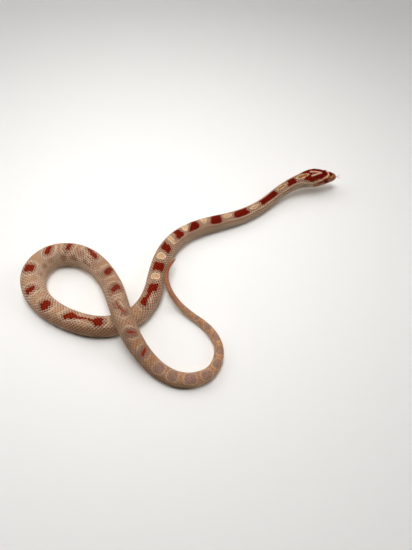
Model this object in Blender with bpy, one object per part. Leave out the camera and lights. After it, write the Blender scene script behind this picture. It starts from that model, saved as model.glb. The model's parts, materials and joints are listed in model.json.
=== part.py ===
"""A still, life-size corn snake, half a metre long, its hind body lying over its fore body.

Everything is placed by its distance from the snout along the spine. The route is the floor plan of the
spine, a few profiles give the width and the height of the body at each distance, and each length of the body
is a loft of the same cross-section, so that neighbouring lengths meet face to face. Sizes are in millimetres
until to_world().
"""

import bmesh
import bpy
import numpy as np

MM = 0.001
GAP = 0.3  # between neighbouring pieces
LENGTH_GAP = 0.42  # between neighbouring lengths of the body, where the inside of a bend closes it

# ---- the pose --------------------------------------------------------------------------------------------
# Floor plan of the spine, from the snout to the tip of the tail: +X to the right, +Y to the far side.
ROUTE = [
    (97.8, 70.8), (90.5, 70.6), (83.3, 70.3), (78.2, 69.3), (72.9, 67.6), (67.7, 65.4), (57.5, 59.2),
    (46.2, 49.7), (32.7, 40.2), (18.2, 34.1), (3.1, 28.5), (-10.1, 19.5), (-18.2, 6.5), (-21.7, -9.4),
    (-24.6, -25.1), (-33.1, -37.7), (-47.8, -42.8), (-63.8, -40.3), (-78.9, -33.0), (-90.4, -22.0),
    (-94.1, -7.0), (-88.1, 3.1), (-75.8, 6.3), (-61.6, 0.7), (-50.6, -11.7), (-43.3, -25.9),
    (-37.4, -40.5), (-30.0, -54.4), (-18.8, -66.2), (-4.4, -72.8), (9.1, -68.9), (14.1, -56.0),
    (7.4, -42.2), (-5.4, -31.5), (-14.3, -19.4), (-15.3, -7.3), (-10.9, 2.0),
]
BODY_LENGTH = 504.0
HEAD_STRAIGHT = 15.0  # the skull doesn't bend
NECK_LIFT = 4.4  # chin above the floor
NECK_LEAVES, NECK_LANDS = 24.0, 62.0
HEAD_ROLL = 14.0  # degrees to the animal's right, gone where the neck lands
ROLL_AXIS = 4.5  # above the chin
HUMP_LIFT = 9.9  # belly above the floor where the hind body lies over the fore body
HUMP_UP = (320.0, 353.0)
HUMP_DOWN = (358.0, 392.0)
TAIL_LIFT = 7.0  # the tail leans on the flank of the fore body
TAIL_UP = (455.0, 488.0)
TAIL_DROOP = 1.0

# ---- the body's girth: (distance from the snout, size) ---------------------------------------------------
BODY_WIDTH = [
    (22, 11.3), (26, 9.7), (32.5, 8.7), (40.8, 8.3), (49.3, 8.4), (62.9, 8.9), (84, 9.7), (104, 10.6),
    (134, 11.0), (194, 11.2), (216, 11.5), (236, 11.9), (254, 13.3), (268, 14.5), (280, 14.3), (294, 13.6),
    (312, 12.7), (334, 11.8), (354, 11.0), (369, 10.0), (380, 9.1), (392, 8.4), (404, 7.7), (414, 7.1),
    (424, 5.8), (439, 5.0), (454, 4.4), (470, 3.6), (484, 2.75), (495, 1.9), (501, 1.25), (504, 0.5),
]
BODY_HEIGHT_RATIO = [
    (22, 0.8), (30.5, 0.9), (62.9, 0.85), (244, 0.84), (268, 0.8), (304, 0.84), (424, 0.9), (454, 0.97),
]
BELLY_SQUARENESS = [  # superellipse exponent
    (22, 2.5), (40.8, 2.9), (84, 3.6), (404, 3.4), (444, 2.6), (504, 2.1),
]
BACK_SQUARENESS = [(22, 2.5), (40.8, 2.15), (504, 2.05)]
BELLY_SHARE = 0.42  # of the height, below the widest level
BELLY_FLAT = 0.95  # the rounded belly is cut level at this share of its depth

# ---- the head --------------------------------------------------------------------------------------------
HEAD_HALF_WIDTH = [
    (0, 0.9), (0.2, 1.5), (0.7, 2.1), (1.6, 2.6), (3, 3.1), (5, 3.6), (7.3, 4.2), (10, 5.0), (13, 5.9),
    (15.5, 6.3), (18, 6.3), (20, 6.05), (22, 5.65),
]
HEAD_TOP = [
    (0, 4.1), (0.2, 4.5), (0.7, 5.0), (1.6, 5.5), (3, 6.1), (5, 6.9), (7.3, 7.7), (9, 8.2), (12, 8.85),
    (15.5, 9.2), (19, 9.1), (22, 8.8),
]
HEAD_BOTTOM = [
    (0, 3.0), (0.2, 2.5), (0.7, 1.9), (1.6, 1.4), (3, 0.95), (5, 0.6), (7.3, 0.35), (10, 0.15), (13, 0.05),
    (16, 0.0), (22, 0.0),
]
HEAD_WIDEST_LEVEL = [(0, 3.6), (3, 3.5), (8, 3.8), (15, 4.2), (22, 3.8)]
HEAD_SQUARENESS = [(0, 2.2), (3, 2.6), (8, 2.75), (14, 2.45), (22, 2.4)]
MOUTH_LEVEL = [(-1, 3.1), (0, 3.1), (2, 2.75), (5, 2.4), (9, 2.3), (13, 2.6), (16, 3.2), (18.6, 4.0)]
JAW_CORNER = 18.6

# Swellings of the head: name, distance from snout, half-width, level, reach along, reach round, height.
SWELLINGS = [
    ("brow", 7.2, 3.4, 7.9, 2.6, 0.9, 0.35),
    ("snout edge", 3.0, 2.6, 6.4, 2.2, 0.7, 0.18),
    ("upper lip", 6.0, 4.4, 3.7, 5.5, 0.7, 0.22),
    ("lower lip", 7.5, 4.1, 1.9, 6.0, 0.7, 0.16),
    ("cheek", 15.0, 6.2, 4.6, 3.2, 2.0, 0.30),
]

EYE_RADIUS = 1.5
EYE_AT = (7.9, 3.0, 5.85)  # distance from the snout, sideways, above the chin
EYE_THICKNESS = 0.92  # of its width, seen from the front
EYE_FACETS = (20, 12)  # round it, and from pole to pole
SOCKET_FACETS = (24, 16)
NOSTRIL_RADIUS = 0.36
NOSTRIL_AT = (1.9, 2.35, 4.3)
NOSTRIL_FACETS = (12, 8)
JAW_CUT_FRONT = -1.0  # in front of the snout
JAW_CUT_FLOOR = -4.0  # under the chin
JAW_CUT_HALF_WIDTH = 12.0
JAW_CUT_STATIONS = 16

TONGUE_LEVEL = 3.05
TONGUE_ROOT = 1.7
TONGUE_FORK = -1.3
TONGUE_TIP = (-3.5, 1.5, 0.15)  # distance from the snout, sideways, above the stem
TONGUE_STEM_RADIUS = 0.36
TONGUE_STEM_SIDES = 12
TONGUE_TINE_RADIUS = 0.27
TONGUE_TINE_TIP_RADIUS = 0.1
TONGUE_TINE_SIDES = 10
TONGUE_TINE_OVERLAP = 0.45  # each tine starts inside the stem
TONGUE_TINE_OFFSET = 0.02  # keeps the tines' faces from lying in one plane
TONGUE_CHANNEL_RADIUS = 0.66
TONGUE_CHANNEL_FRONT = -2.0
TONGUE_CHANNEL_SIDES = 16

# ---- how the body is divided: node name and where it starts ----------------------------------------------
LENGTHS = [
    ("neck", 23), ("fore_body_1", 67.4), ("fore_body_2", 118), ("fore_body_3", 164),
    ("mid_body_1", 207), ("mid_body_2", 246), ("mid_body_3", 270),
    ("hind_body_1", 298), ("hind_body_2", 337), ("hind_body_3", 376), ("hind_body_4", 402),
    ("tail_1", 417), ("tail_2", 438), ("tail_3", 466),
]
TAIL_TIP = 503.8
TAIL_TIP_RINGS = [501.0, 502.6]  # closer together, where the tip rounds off
RING_STEP = 3.3
RING_POINTS = 26
HEAD_RINGS = [
    0, 0.12, 0.35, 0.7, 1.15, 1.7, 2.3, 3, 3.8, 4.6, 5.4, 6.2, 7, 7.8, 8.6, 9.5, 10.5, 11.5, 12.5, 13.5,
    14.5, 15.5, 16.5, 17.5, 18.5, 19.5, 20.5, 21.6, 22.85,
]
HEAD_RING_POINTS = 44

COLOURS = {  # Principled BSDF: linear base colour, roughness
    "skin_front": ((0.62, 0.36, 0.24), 0.45),
    "skin_hind": ((0.58, 0.31, 0.19), 0.45),
    "skin_tail": ((0.50, 0.23, 0.12), 0.45),
    "head_shields": ((0.36, 0.03, 0.01), 0.38),
    "eye_glass": ((0.10, 0.01, 0.006), 0.08),
    "tongue_skin": ((0.60, 0.30, 0.18), 0.50),
}


# ---- helpers ---------------------------------------------------------------------------------------------
def profile(knots, at):
    """Value at a distance: a cubic through the knots whose slopes are kept from overshooting."""
    x = np.array([k[0] for k in knots], float)
    y = np.array([k[1] for k in knots], float)
    step = np.diff(x)
    slope = np.diff(y) / step
    turn = slope[:-1] * slope[1:] > 0
    middle = np.where(turn, 2 * slope[:-1] * slope[1:] / np.where(turn, slope[:-1] + slope[1:], 1), 0)
    tangent = np.concatenate([[slope[0]], middle, [slope[-1]]])
    at = np.clip(at, x[0], x[-1])
    i = np.clip(np.searchsorted(x, at, side="right") - 1, 0, len(step) - 1)
    h = step[i]
    t = (at - x[i]) / h
    return (
        y[i] * (1 + 2 * t) * (1 - t) ** 2
        + tangent[i] * h * t * (1 - t) ** 2
        + y[i + 1] * t * t * (3 - 2 * t)
        + tangent[i + 1] * h * t * t * (t - 1)
    )


def ease(at, start, end):
    """0 before start, 1 after end, smooth between."""
    t = np.clip((np.asarray(at, float) - start) / (end - start), 0, 1)
    return t * t * (3 - 2 * t)


def lift(at):
    """Height of the belly above the floor."""
    neck = NECK_LIFT * (1 - ease(at, NECK_LEAVES, NECK_LANDS))
    hump = HUMP_LIFT * ease(at, *HUMP_UP) * (1 - ease(at, *HUMP_DOWN))
    tail = TAIL_LIFT * ease(at, *TAIL_UP) - TAIL_DROOP * ease(at, TAIL_UP[1], BODY_LENGTH)
    return neck + hump + np.where(np.asarray(at) > TAIL_UP[0], tail, 0)


class Spine:
    """A cubic spline through the route, measured along the floor from the snout."""

    def __init__(self):
        points = np.array(ROUTE, float)
        chord = np.concatenate([[0], np.cumsum(np.linalg.norm(np.diff(points, axis=0), axis=1))])
        fine = np.linspace(0, chord[-1], 4000)
        self.plan = self.spline(chord, points, fine)
        run = np.concatenate([[0], np.cumsum(np.linalg.norm(np.diff(self.plan, axis=0), axis=1))])
        self.run = run * BODY_LENGTH / run[-1]

    @staticmethod
    def spline(knots, values, at):
        """Natural cubic spline: solves for the second derivative at each knot."""
        h = np.diff(knots)
        n = len(knots)
        system = np.eye(n)
        right = np.zeros((n, 2))
        for i in range(1, n - 1):
            system[i, i - 1 : i + 2] = h[i - 1], 2 * (h[i - 1] + h[i]), h[i]
            right[i] = 6 * ((values[i + 1] - values[i]) / h[i] - (values[i] - values[i - 1]) / h[i - 1])
        bend = np.linalg.solve(system, right)
        i = np.clip(np.searchsorted(knots, at, side="right") - 1, 0, n - 2)
        a = ((knots[i + 1] - at) / h[i])[:, None]
        b = 1 - a
        curve = ((a**3 - a) * bend[i] + (b**3 - b) * bend[i + 1]) * h[i][:, None] ** 2 / 6
        return a * values[i] + b * values[i + 1] + curve

    def position(self, at):
        x = np.interp(at, self.run, self.plan[:, 0])
        y = np.interp(at, self.run, self.plan[:, 1])
        return np.stack([x, y, lift(at)], axis=-1)

    def frame(self, at):
        """Belly point, forward, left and up at each distance. The skull is one straight stretch."""
        at = np.asarray(at, float)
        held = np.clip(at, HEAD_STRAIGHT, BODY_LENGTH - 0.5)
        forward = self.position(held - 0.5) - self.position(held + 0.5)
        forward /= np.linalg.norm(forward, axis=-1, keepdims=True)
        left = np.cross([0.0, 0.0, 1.0], forward)
        left /= np.linalg.norm(left, axis=-1, keepdims=True)
        up = np.cross(forward, left)
        roll = np.radians(HEAD_ROLL) * (1 - ease(at, NECK_LEAVES, NECK_LANDS))[..., None]
        level_up = up
        left, up = left * np.cos(roll) + up * np.sin(roll), up * np.cos(roll) - left * np.sin(roll)
        point = self.position(held) + forward * (held - at)[..., None] + (level_up - up) * ROLL_AXIS
        return point, forward, left, up


SPINE = Spine()


def to_world(local):
    """Local (distance from the snout, left, up) to metres in the model's frame."""
    local = np.asarray(local, float)
    point, _, left, up = SPINE.frame(local[..., 0])
    return (point + left * local[..., 1:2] + up * local[..., 2:3]) * MM


def superellipse(half_width, top, bottom, level, squareness_up, squareness_down):
    """A closed section, from the top round by the left: one power curve above the widest level, one below."""
    angle = np.linspace(0, 2 * np.pi, 1441)[:-1]
    side, rise = np.sin(angle), np.cos(angle)
    n = np.where(rise > 0, squareness_up, squareness_down)
    across = half_width * np.sign(side) * np.abs(side) ** (2 / n)
    height = np.where(rise > 0, top - level, level - bottom) * np.sign(rise) * np.abs(rise) ** (2 / n) + level
    return across, height


def evenly(across, height, count):
    """The section's outline cut into equal steps."""
    closed = np.stack([np.append(across, across[0]), np.append(height, height[0])], axis=1)
    run = np.concatenate([[0], np.cumsum(np.linalg.norm(np.diff(closed, axis=0), axis=1))])
    stops = np.linspace(0, run[-1], count + 1)[:-1]
    return np.interp(stops, run, closed[:, 0]), np.interp(stops, run, closed[:, 1])


def body_section(at):
    """A loaf: domed back, squarer belly, cut level where it lies on the floor."""
    width = profile(BODY_WIDTH, at)
    height = width * profile(BODY_HEIGHT_RATIO, at)
    depth = height * BELLY_SHARE
    across, level = superellipse(
        width / 2, height, depth - depth / BELLY_FLAT, depth,
        profile(BACK_SQUARENESS, at), profile(BELLY_SQUARENESS, at),
    )
    return evenly(across, np.maximum(level, 0), RING_POINTS)


def head_section(at):
    """Flat-crowned and widest at the jaw; the swellings are pushed out from the middle of the section."""
    level = profile(HEAD_WIDEST_LEVEL, at)
    square = profile(HEAD_SQUARENESS, at)
    across, height = superellipse(
        profile(HEAD_HALF_WIDTH, at), profile(HEAD_TOP, at), profile(HEAD_BOTTOM, at), level, square, square
    )
    across, height = evenly(across, height, HEAD_RING_POINTS)
    out = np.stack([across, height - level], axis=1)
    out /= np.linalg.norm(out, axis=1, keepdims=True)
    for _, along, side, up, reach, spread, size in SWELLINGS:
        near = ((at - along) / reach) ** 2 + ((np.abs(across) - side) ** 2 + (height - up) ** 2) / spread**2
        push = size * np.exp(-near)
        across = across + out[:, 0] * push
        height = height + out[:, 1] * push
    return across, height


# ---- meshes ----------------------------------------------------------------------------------------------
def material(name):
    found = bpy.data.materials.get(name)
    if found:
        return found
    colour, rough = COLOURS[name]
    made = bpy.data.materials.new(name)
    made.use_nodes = True
    shader = made.node_tree.nodes["Principled BSDF"]
    shader.inputs["Base Color"].default_value = (*colour, 1)
    shader.inputs["Roughness"].default_value = rough
    made.diffuse_color = (*colour, 1)
    return made


def collection(name):
    found = bpy.data.collections.get(name) or bpy.data.collections.new(name)
    if name not in bpy.context.scene.collection.children:
        bpy.context.scene.collection.children.link(found)
    return found


def add_object(name, mesh, finish, home="corn_snake"):
    mesh.materials.append(material(finish))
    made = bpy.data.objects.new(name, mesh)
    collection(home).objects.link(made)
    return made


def loft(name, rings):
    """A closed mesh in local coordinates: each ring is joined to the next, and both ends are capped."""
    shape = bmesh.new()
    rows = [[shape.verts.new(p) for p in ring] for ring in rings]
    for first, second in zip(rows, rows[1:]):
        for i in range(len(first)):
            j = (i + 1) % len(first)
            shape.faces.new((first[i], first[j], second[j], second[i]))
    shape.faces.new(rows[0][::-1])
    shape.faces.new(rows[-1])
    bmesh.ops.recalc_face_normals(shape, faces=shape.faces)
    bmesh.ops.triangulate(shape, faces=shape.faces)
    mesh = bpy.data.meshes.new(name)
    shape.to_mesh(mesh)
    shape.free()
    return mesh


def section_rings(stations, section):
    rings = []
    for at in stations:
        across, height = section(at)
        rings.append(np.stack([np.full(len(across), at), across, height], axis=1))
    return rings


def move_to_world(mesh):
    """Takes a mesh from local coordinates to its place on the spine."""
    flat = np.empty(len(mesh.vertices) * 3, np.float32)
    mesh.vertices.foreach_get("co", flat)
    placed = to_world(flat.reshape(-1, 3).astype(float))
    mesh.vertices.foreach_set("co", placed.astype(np.float32).ravel())
    shape = bmesh.new()
    shape.from_mesh(mesh)
    bmesh.ops.recalc_face_normals(shape, faces=shape.faces)
    shape.to_mesh(mesh)
    shape.free()
    mesh.shade_smooth()
    mesh.update()


def ball(name, centre, radius, facets, squash=1.0):
    """A sphere in local coordinates, its poles to the left and the right."""
    shape = bmesh.new()
    bmesh.ops.create_uvsphere(shape, u_segments=facets[0], v_segments=facets[1], radius=radius)
    for vertex in shape.verts:
        x, y, z = vertex.co
        vertex.co = (centre[0] + x, centre[1] + z * squash, centre[2] - y)
    bmesh.ops.recalc_face_normals(shape, faces=shape.faces)
    mesh = bpy.data.meshes.new(name)
    shape.to_mesh(mesh)
    shape.free()
    return mesh


def tube(name, start, end, start_radius, end_radius, sides):
    """A round, tapering bar in local coordinates."""
    start, end = np.array(start, float), np.array(end, float)
    along = (end - start) / np.linalg.norm(end - start)
    side = np.cross(along, [0, 0, 1])
    side /= np.linalg.norm(side)
    top = np.cross(side, along)
    turn = np.linspace(0, 2 * np.pi, sides, endpoint=False)[:, None]
    circle = np.cos(turn) * side + np.sin(turn) * top
    return loft(name, [start + circle * start_radius, end + circle * end_radius])


def cutter(name, mesh):
    made = bpy.data.objects.new(name, mesh)
    collection("cutters").objects.link(made)
    made.hide_render = True
    made.display_type = "WIRE"
    return made


def jaw_block(name, margin):
    """The space under the mouth line and in front of the corner of the jaw, larger by a margin."""
    back = JAW_CORNER + margin
    stations = np.linspace(JAW_CUT_FRONT, back, JAW_CUT_STATIONS)
    top = [(at, profile(MOUTH_LEVEL, at) + margin) for at in stations]
    outline = top + [(back, JAW_CUT_FLOOR), (JAW_CUT_FRONT, JAW_CUT_FLOOR)]
    left = [(at, JAW_CUT_HALF_WIDTH, level) for at, level in outline]
    right = [(at, -JAW_CUT_HALF_WIDTH, level) for at, level in outline]
    return cutter(name, loft(name, [left, right]))


def apply_booleans(thing, steps):
    for operation, other in steps:
        step = thing.modifiers.new(operation.lower(), "BOOLEAN")
        step.operation = operation
        step.object = other
        step.solver = "EXACT"
    graph = bpy.context.evaluated_depsgraph_get()
    mesh = bpy.data.meshes.new_from_object(thing.evaluated_get(graph))
    thing.modifiers.clear()
    thing.data = mesh
    return mesh


# ---- the animal's parts ----------------------------------------------------------------------------------
def on_side(place, side):
    """The same place on the left, for 1, or on the right, for -1."""
    return place[0], side * place[1], place[2]


def build_head():
    """The skull with its upper lip, and the lower jaw, parted along the mouth line."""
    rings = section_rings(HEAD_RINGS, head_section)
    upper = add_object("head", loft("head", rings), "head_shields")
    lower = add_object("lower_jaw", loft("lower_jaw", rings), "skin_front")
    root = (TONGUE_ROOT + GAP, 0, TONGUE_LEVEL)
    front = (TONGUE_CHANNEL_FRONT, 0, TONGUE_LEVEL)
    radius = TONGUE_CHANNEL_RADIUS
    bore = tube("tongue_channel", root, front, radius, radius, TONGUE_CHANNEL_SIDES)
    channel = cutter("tongue_channel", bore)
    pits = []
    for side in (1, -1):
        socket = ball("socket", on_side(EYE_AT, side), EYE_RADIUS + GAP, SOCKET_FACETS, EYE_THICKNESS)
        nostril = ball("nostril", on_side(NOSTRIL_AT, side), NOSTRIL_RADIUS, NOSTRIL_FACETS)
        pits += [cutter("socket", socket), cutter("nostril", nostril)]
    cuts = [("DIFFERENCE", thing) for thing in [jaw_block("jaw_space", GAP / 2), channel, *pits]]
    move_to_world(apply_booleans(upper, cuts))
    keep = [("INTERSECT", jaw_block("jaw_keep", -GAP / 2)), ("DIFFERENCE", channel)]
    move_to_world(apply_booleans(lower, keep))


def build_eyes():
    for name, side in (("eye_left", 1), ("eye_right", -1)):
        mesh = ball(name, on_side(EYE_AT, side), EYE_RADIUS, EYE_FACETS, EYE_THICKNESS)
        move_to_world(mesh)
        add_object(name, mesh, "eye_glass")


def build_tongue():
    """A round stem out of the notch in the lip, forked into two tapering tines."""
    root, fork = (TONGUE_ROOT, 0, TONGUE_LEVEL), (TONGUE_FORK, 0, TONGUE_LEVEL)
    bar = tube("tongue", root, fork, TONGUE_STEM_RADIUS, TONGUE_STEM_RADIUS, TONGUE_STEM_SIDES)
    stem = add_object("tongue", bar, "tongue_skin")
    tines = []
    for side in (1, -1):
        inside = (TONGUE_FORK + TONGUE_TINE_OVERLAP, 0.0, TONGUE_LEVEL + TONGUE_TINE_OFFSET * side)
        tip = (TONGUE_TIP[0], side * TONGUE_TIP[1], TONGUE_LEVEL + side * TONGUE_TIP[2])
        tine = tube("tine", inside, tip, TONGUE_TINE_RADIUS, TONGUE_TINE_TIP_RADIUS, TONGUE_TINE_SIDES)
        tines.append(cutter("tine", tine))
    move_to_world(apply_booleans(stem, [("UNION", tine) for tine in tines]))


def build_lengths():
    """The neck, body and tail, each length a loft that stops half a gap short of its neighbours."""
    starts = [start for _, start in LENGTHS] + [TAIL_TIP + LENGTH_GAP / 2]
    for (name, start), end in zip(LENGTHS, starts[1:]):
        first, last = start + LENGTH_GAP / 2, end - LENGTH_GAP / 2
        stations = np.linspace(first, last, max(4, round((last - first) / RING_STEP)) + 1)
        if name == "tail_3":
            stations = np.concatenate([stations[:-1], TAIL_TIP_RINGS, [last]])
        finish = {"tail": "skin_tail", "hind": "skin_hind"}.get(name[:4], "skin_front")
        mesh = loft(name, section_rings(np.sort(stations), body_section))
        move_to_world(mesh)
        add_object(name, mesh, finish)


def main():
    for thing in list(bpy.data.objects):
        bpy.data.objects.remove(thing)
    build_head()
    build_eyes()
    build_tongue()
    build_lengths()


main()
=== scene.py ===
"""Corn snake, life size and half a metre long, resting on a pale floor with its head raised.

The body is one surface, wrapped round a spine whose floor plan is a spline. A place on it is given by
its distance from the snout and by the share of the way round the section, counted from the middle of
the back to the left. Scales, shields and markings are all laid out in these two numbers. Sizes are in
millimetres until a mesh is made.
"""

import json
import math

import bpy
import numpy as np
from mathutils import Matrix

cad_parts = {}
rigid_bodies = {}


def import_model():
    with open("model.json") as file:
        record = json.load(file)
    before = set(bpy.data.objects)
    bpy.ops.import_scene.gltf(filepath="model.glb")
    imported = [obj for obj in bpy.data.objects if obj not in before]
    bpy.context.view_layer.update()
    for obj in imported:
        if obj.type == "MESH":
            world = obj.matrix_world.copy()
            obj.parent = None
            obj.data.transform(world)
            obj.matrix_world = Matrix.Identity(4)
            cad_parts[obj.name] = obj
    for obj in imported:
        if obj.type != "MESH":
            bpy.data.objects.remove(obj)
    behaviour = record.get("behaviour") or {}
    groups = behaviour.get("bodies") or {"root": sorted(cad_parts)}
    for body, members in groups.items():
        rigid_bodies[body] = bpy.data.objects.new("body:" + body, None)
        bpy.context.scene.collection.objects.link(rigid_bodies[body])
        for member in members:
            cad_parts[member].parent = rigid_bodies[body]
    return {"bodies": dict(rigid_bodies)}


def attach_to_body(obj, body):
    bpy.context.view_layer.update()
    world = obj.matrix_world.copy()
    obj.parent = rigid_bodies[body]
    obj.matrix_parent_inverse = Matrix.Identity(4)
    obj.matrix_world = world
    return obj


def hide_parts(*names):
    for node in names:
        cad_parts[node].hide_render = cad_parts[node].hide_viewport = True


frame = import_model()

bl_info = {
    "name": "Corn snake",
    "version": (1, 0, 0),
    "blender": (4, 5, 0),
    "location": "View3D > Sidebar > Corn snake",
    "description": "Builds a life-size corn snake with its scales, its markings and a plain studio",
    "category": "Add Mesh",
}

MM = 0.001
BODY = next(iter(frame["bodies"]))
SEED = 11
FAR = 1e9  # a distance from which nothing shows

# ---- the pose ----------------------------------------------------------------------------------------
# Floor plan of the spine, from the snout to the tip of the tail: +X to the right, +Y to the far side.
ROUTE = [
    (97.8, 70.8), (90.5, 70.6), (83.3, 70.3), (78.2, 69.3), (72.9, 67.6), (67.7, 65.4), (57.5, 59.2),
    (46.2, 49.7), (32.7, 40.2), (18.2, 34.1), (3.1, 28.5), (-10.1, 19.5), (-18.2, 6.5), (-21.7, -9.4),
    (-24.6, -25.1), (-33.1, -37.7), (-47.8, -42.8), (-63.8, -40.3), (-78.9, -33.0), (-90.4, -22.0),
    (-94.1, -7.0), (-88.1, 3.1), (-75.8, 6.3), (-61.6, 0.7), (-50.6, -11.7), (-43.3, -25.9),
    (-37.4, -40.5), (-30.0, -54.4), (-18.8, -66.2), (-4.4, -72.8), (9.1, -68.9), (14.1, -56.0),
    (7.4, -42.2), (-5.4, -31.5), (-14.3, -19.4), (-15.3, -7.3), (-10.9, 2.0),
]
BODY_LENGTH = 504.0
TIP = BODY_LENGTH - 0.1  # where the skin closes
SPINE_STEPS = 4000
HEAD_STRAIGHT = 15.0  # the skull doesn't bend
NECK_LIFT = 4.4  # chin above the floor
NECK_LEAVES, NECK_LANDS = 24.0, 62.0
HEAD_ROLL = 14.0  # degrees to the animal's right, gone where the neck lands
ROLL_AXIS = 4.5  # above the chin
HUMP_LIFT = 9.9  # belly above the floor where the hind body lies over the fore body
HUMP_UP = (320.0, 353.0)
HUMP_DOWN = (358.0, 392.0)
TAIL_LIFT = 7.0  # the tail leans on the flank of the fore body
TAIL_UP = (455.0, 488.0)
TAIL_DROOP = 1.0

# ---- girth: (distance from the snout, size) ----------------------------------------------------------
BODY_WIDTH = [
    (22, 11.3), (26, 9.7), (32.5, 8.7), (40.8, 8.3), (49.3, 8.4), (62.9, 8.9), (84, 9.7), (104, 10.6),
    (134, 11.0), (194, 11.2), (216, 11.5), (236, 11.9), (254, 13.3), (268, 14.5), (280, 14.3),
    (294, 13.6), (312, 12.7), (334, 11.8), (354, 11.0), (369, 10.0), (380, 9.1), (392, 8.4), (404, 7.7),
    (414, 7.1), (424, 5.8), (439, 5.0), (454, 4.4), (470, 3.6), (484, 2.75), (495, 1.9), (501, 1.25),
    (504, 0.5),
]
BODY_HEIGHT_RATIO = [
    (22, 0.8), (30.5, 0.9), (62.9, 0.85), (244, 0.84), (268, 0.8), (304, 0.84), (424, 0.9), (454, 0.97),
]
BELLY_SQUARENESS = [  # superellipse exponent
    (22, 2.5), (40.8, 2.9), (84, 3.6), (404, 3.4), (444, 2.6), (504, 2.1),
]
BACK_SQUARENESS = [(22, 2.5), (40.8, 2.15), (504, 2.05)]
BELLY_SHARE = 0.42  # of the height, below the widest level
BELLY_FLAT = 0.95  # the rounded belly is cut level at this share of its depth
SECTION_STEPS = 1440  # places worked out round a section before it is cut into equal steps

# ---- the head ----------------------------------------------------------------------------------------
HEAD_HALF_WIDTH = [
    (0, 0.9), (0.2, 1.5), (0.7, 2.1), (1.6, 2.6), (3, 3.1), (5, 3.6), (7.3, 4.2), (10, 5.0), (13, 5.9),
    (15.5, 6.3), (18, 6.3), (20, 6.05), (22, 5.65),
]
HEAD_TOP = [
    (0, 4.1), (0.2, 4.5), (0.7, 5.0), (1.6, 5.5), (3, 6.1), (5, 6.9), (7.3, 7.7), (9, 8.2), (12, 8.85),
    (15.5, 9.2), (19, 9.1), (22, 8.8),
]
HEAD_BOTTOM = [
    (0, 3.0), (0.2, 2.5), (0.7, 1.9), (1.6, 1.4), (3, 0.95), (5, 0.6), (7.3, 0.35), (10, 0.15),
    (13, 0.05), (16, 0.0), (22, 0.0),
]
HEAD_WIDEST_LEVEL = [(0, 3.6), (3, 3.5), (8, 3.8), (15, 4.2), (22, 3.8)]
HEAD_SQUARENESS = [(0, 2.2), (3, 2.6), (8, 2.75), (14, 2.45), (22, 2.4)]
HEAD_MEETS_BODY = (20.5, 23.5)
# Swellings of the head: distance from snout, half-width, level, reach along, reach round, height.
SWELLINGS = {
    "brow": (7.2, 3.4, 7.9, 2.6, 0.9, 0.35),
    "snout edge": (3.0, 2.6, 6.4, 2.2, 0.7, 0.18),
    "upper lip": (6.0, 4.4, 3.7, 5.5, 0.7, 0.22),
    "lower lip": (7.5, 4.1, 1.9, 6.0, 0.7, 0.16),
    "cheek": (15.0, 6.2, 4.6, 3.2, 2.0, 0.30),
}
EYE_RADIUS = 1.5
EYE_AT = (7.9, 3.0, 5.85)  # distance from the snout, sideways, above the chin
EYE_THICKNESS = 0.92  # of its width, seen from the front
EYE_ROUND = 5.05  # from the middle of the crown round to the eye's centre
TONGUE_LEVEL = 3.05
TONGUE_ROOT = 1.7
TONGUE_FORK = -1.3
TONGUE_TIP = (-3.5, 1.5, 0.15)  # distance from the snout, sideways, above the stem
TONGUE_THICKNESS = [(1.7, 0.36), (0.2, 0.36), (-1.3, 0.33), (-2.2, 0.24), (-3.5, 0.1)]  # radius

# ---- the lie of the scales ---------------------------------------------------------------------------
LEAN = [  # how far round to the left the middle row lies
    (0, 0.3), (22, 0.7), (34.5, 0.4), (52.6, -0.2), (96, -0.2), (123, 0.2), (150, -0.6), (166, -0.6),
    (204, 0), (220, -0.1), (237, -0.9), (251, -1.3), (265, -0.9), (280, -0.7), (293, -1.4), (308, -2.2),
    (326, -2.0), (344, -1.4), (355, -0.3), (378, -0.4), (399, -0.3), (414, 0.5), (434, 0.3), (444, 0),
    (504, 0),
]
BACK_SHARE = [  # of the way round that small scales cover
    (0, 0.73), (62.9, 0.75), (404, 0.75), (429, 0.76), (504, 0.77),
]
ROWS = [  # from this distance on, so many rows of scales from belly to belly
    (9, 23), (170, 25), (235, 27), (304, 25), (349, 23), (376, 21), (402, 19), (420, 17), (428, 15),
    (436, 13), (445, 11), (457, 9), (471, 7), (487, 5),
]
FUSE_REACH = 8.0  # rows run together over this length where their number changes
STEP = [  # one scale to the next
    (0, 1.35), (22, 1.6), (62.9, 1.88), (414, 1.93), (444, 1.7), (474, 1.2), (504, 0.7),
]
DEPTH = [
    (0, 0.15), (22, 0.2), (62.9, 0.22), (404, 0.2), (454, 0.13), (484, 0.08), (500, 0.03), (504, 0.01),
]
VENT = 418.0
BELLY_FROM = 21.0


# ---- curves ------------------------------------------------------------------------------------------
def profile(knots, at):
    """Value at a distance: a cubic through the knots whose slopes are kept from overshooting."""
    x = np.array([k[0] for k in knots], float)
    y = np.array([k[1] for k in knots], float)
    step = np.diff(x)
    slope = np.diff(y) / step
    turn = slope[:-1] * slope[1:] > 0
    middle = np.where(turn, 2 * slope[:-1] * slope[1:] / np.where(turn, slope[:-1] + slope[1:], 1), 0)
    tangent = np.concatenate([[slope[0]], middle, [slope[-1]]])
    at = np.clip(at, x[0], x[-1])
    i = np.clip(np.searchsorted(x, at, side="right") - 1, 0, len(step) - 1)
    h = step[i]
    t = (at - x[i]) / h
    return (
        y[i] * (1 + 2 * t) * (1 - t) ** 2
        + tangent[i] * h * t * (1 - t) ** 2
        + y[i + 1] * t * t * (3 - 2 * t)
        + tangent[i + 1] * h * t * t * (t - 1)
    )


def ease(at, start, end):
    """0 before start, 1 after end, smooth between."""
    t = np.clip((np.asarray(at, float) - start) / (end - start), 0, 1)
    return t * t * (3 - 2 * t)


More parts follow.
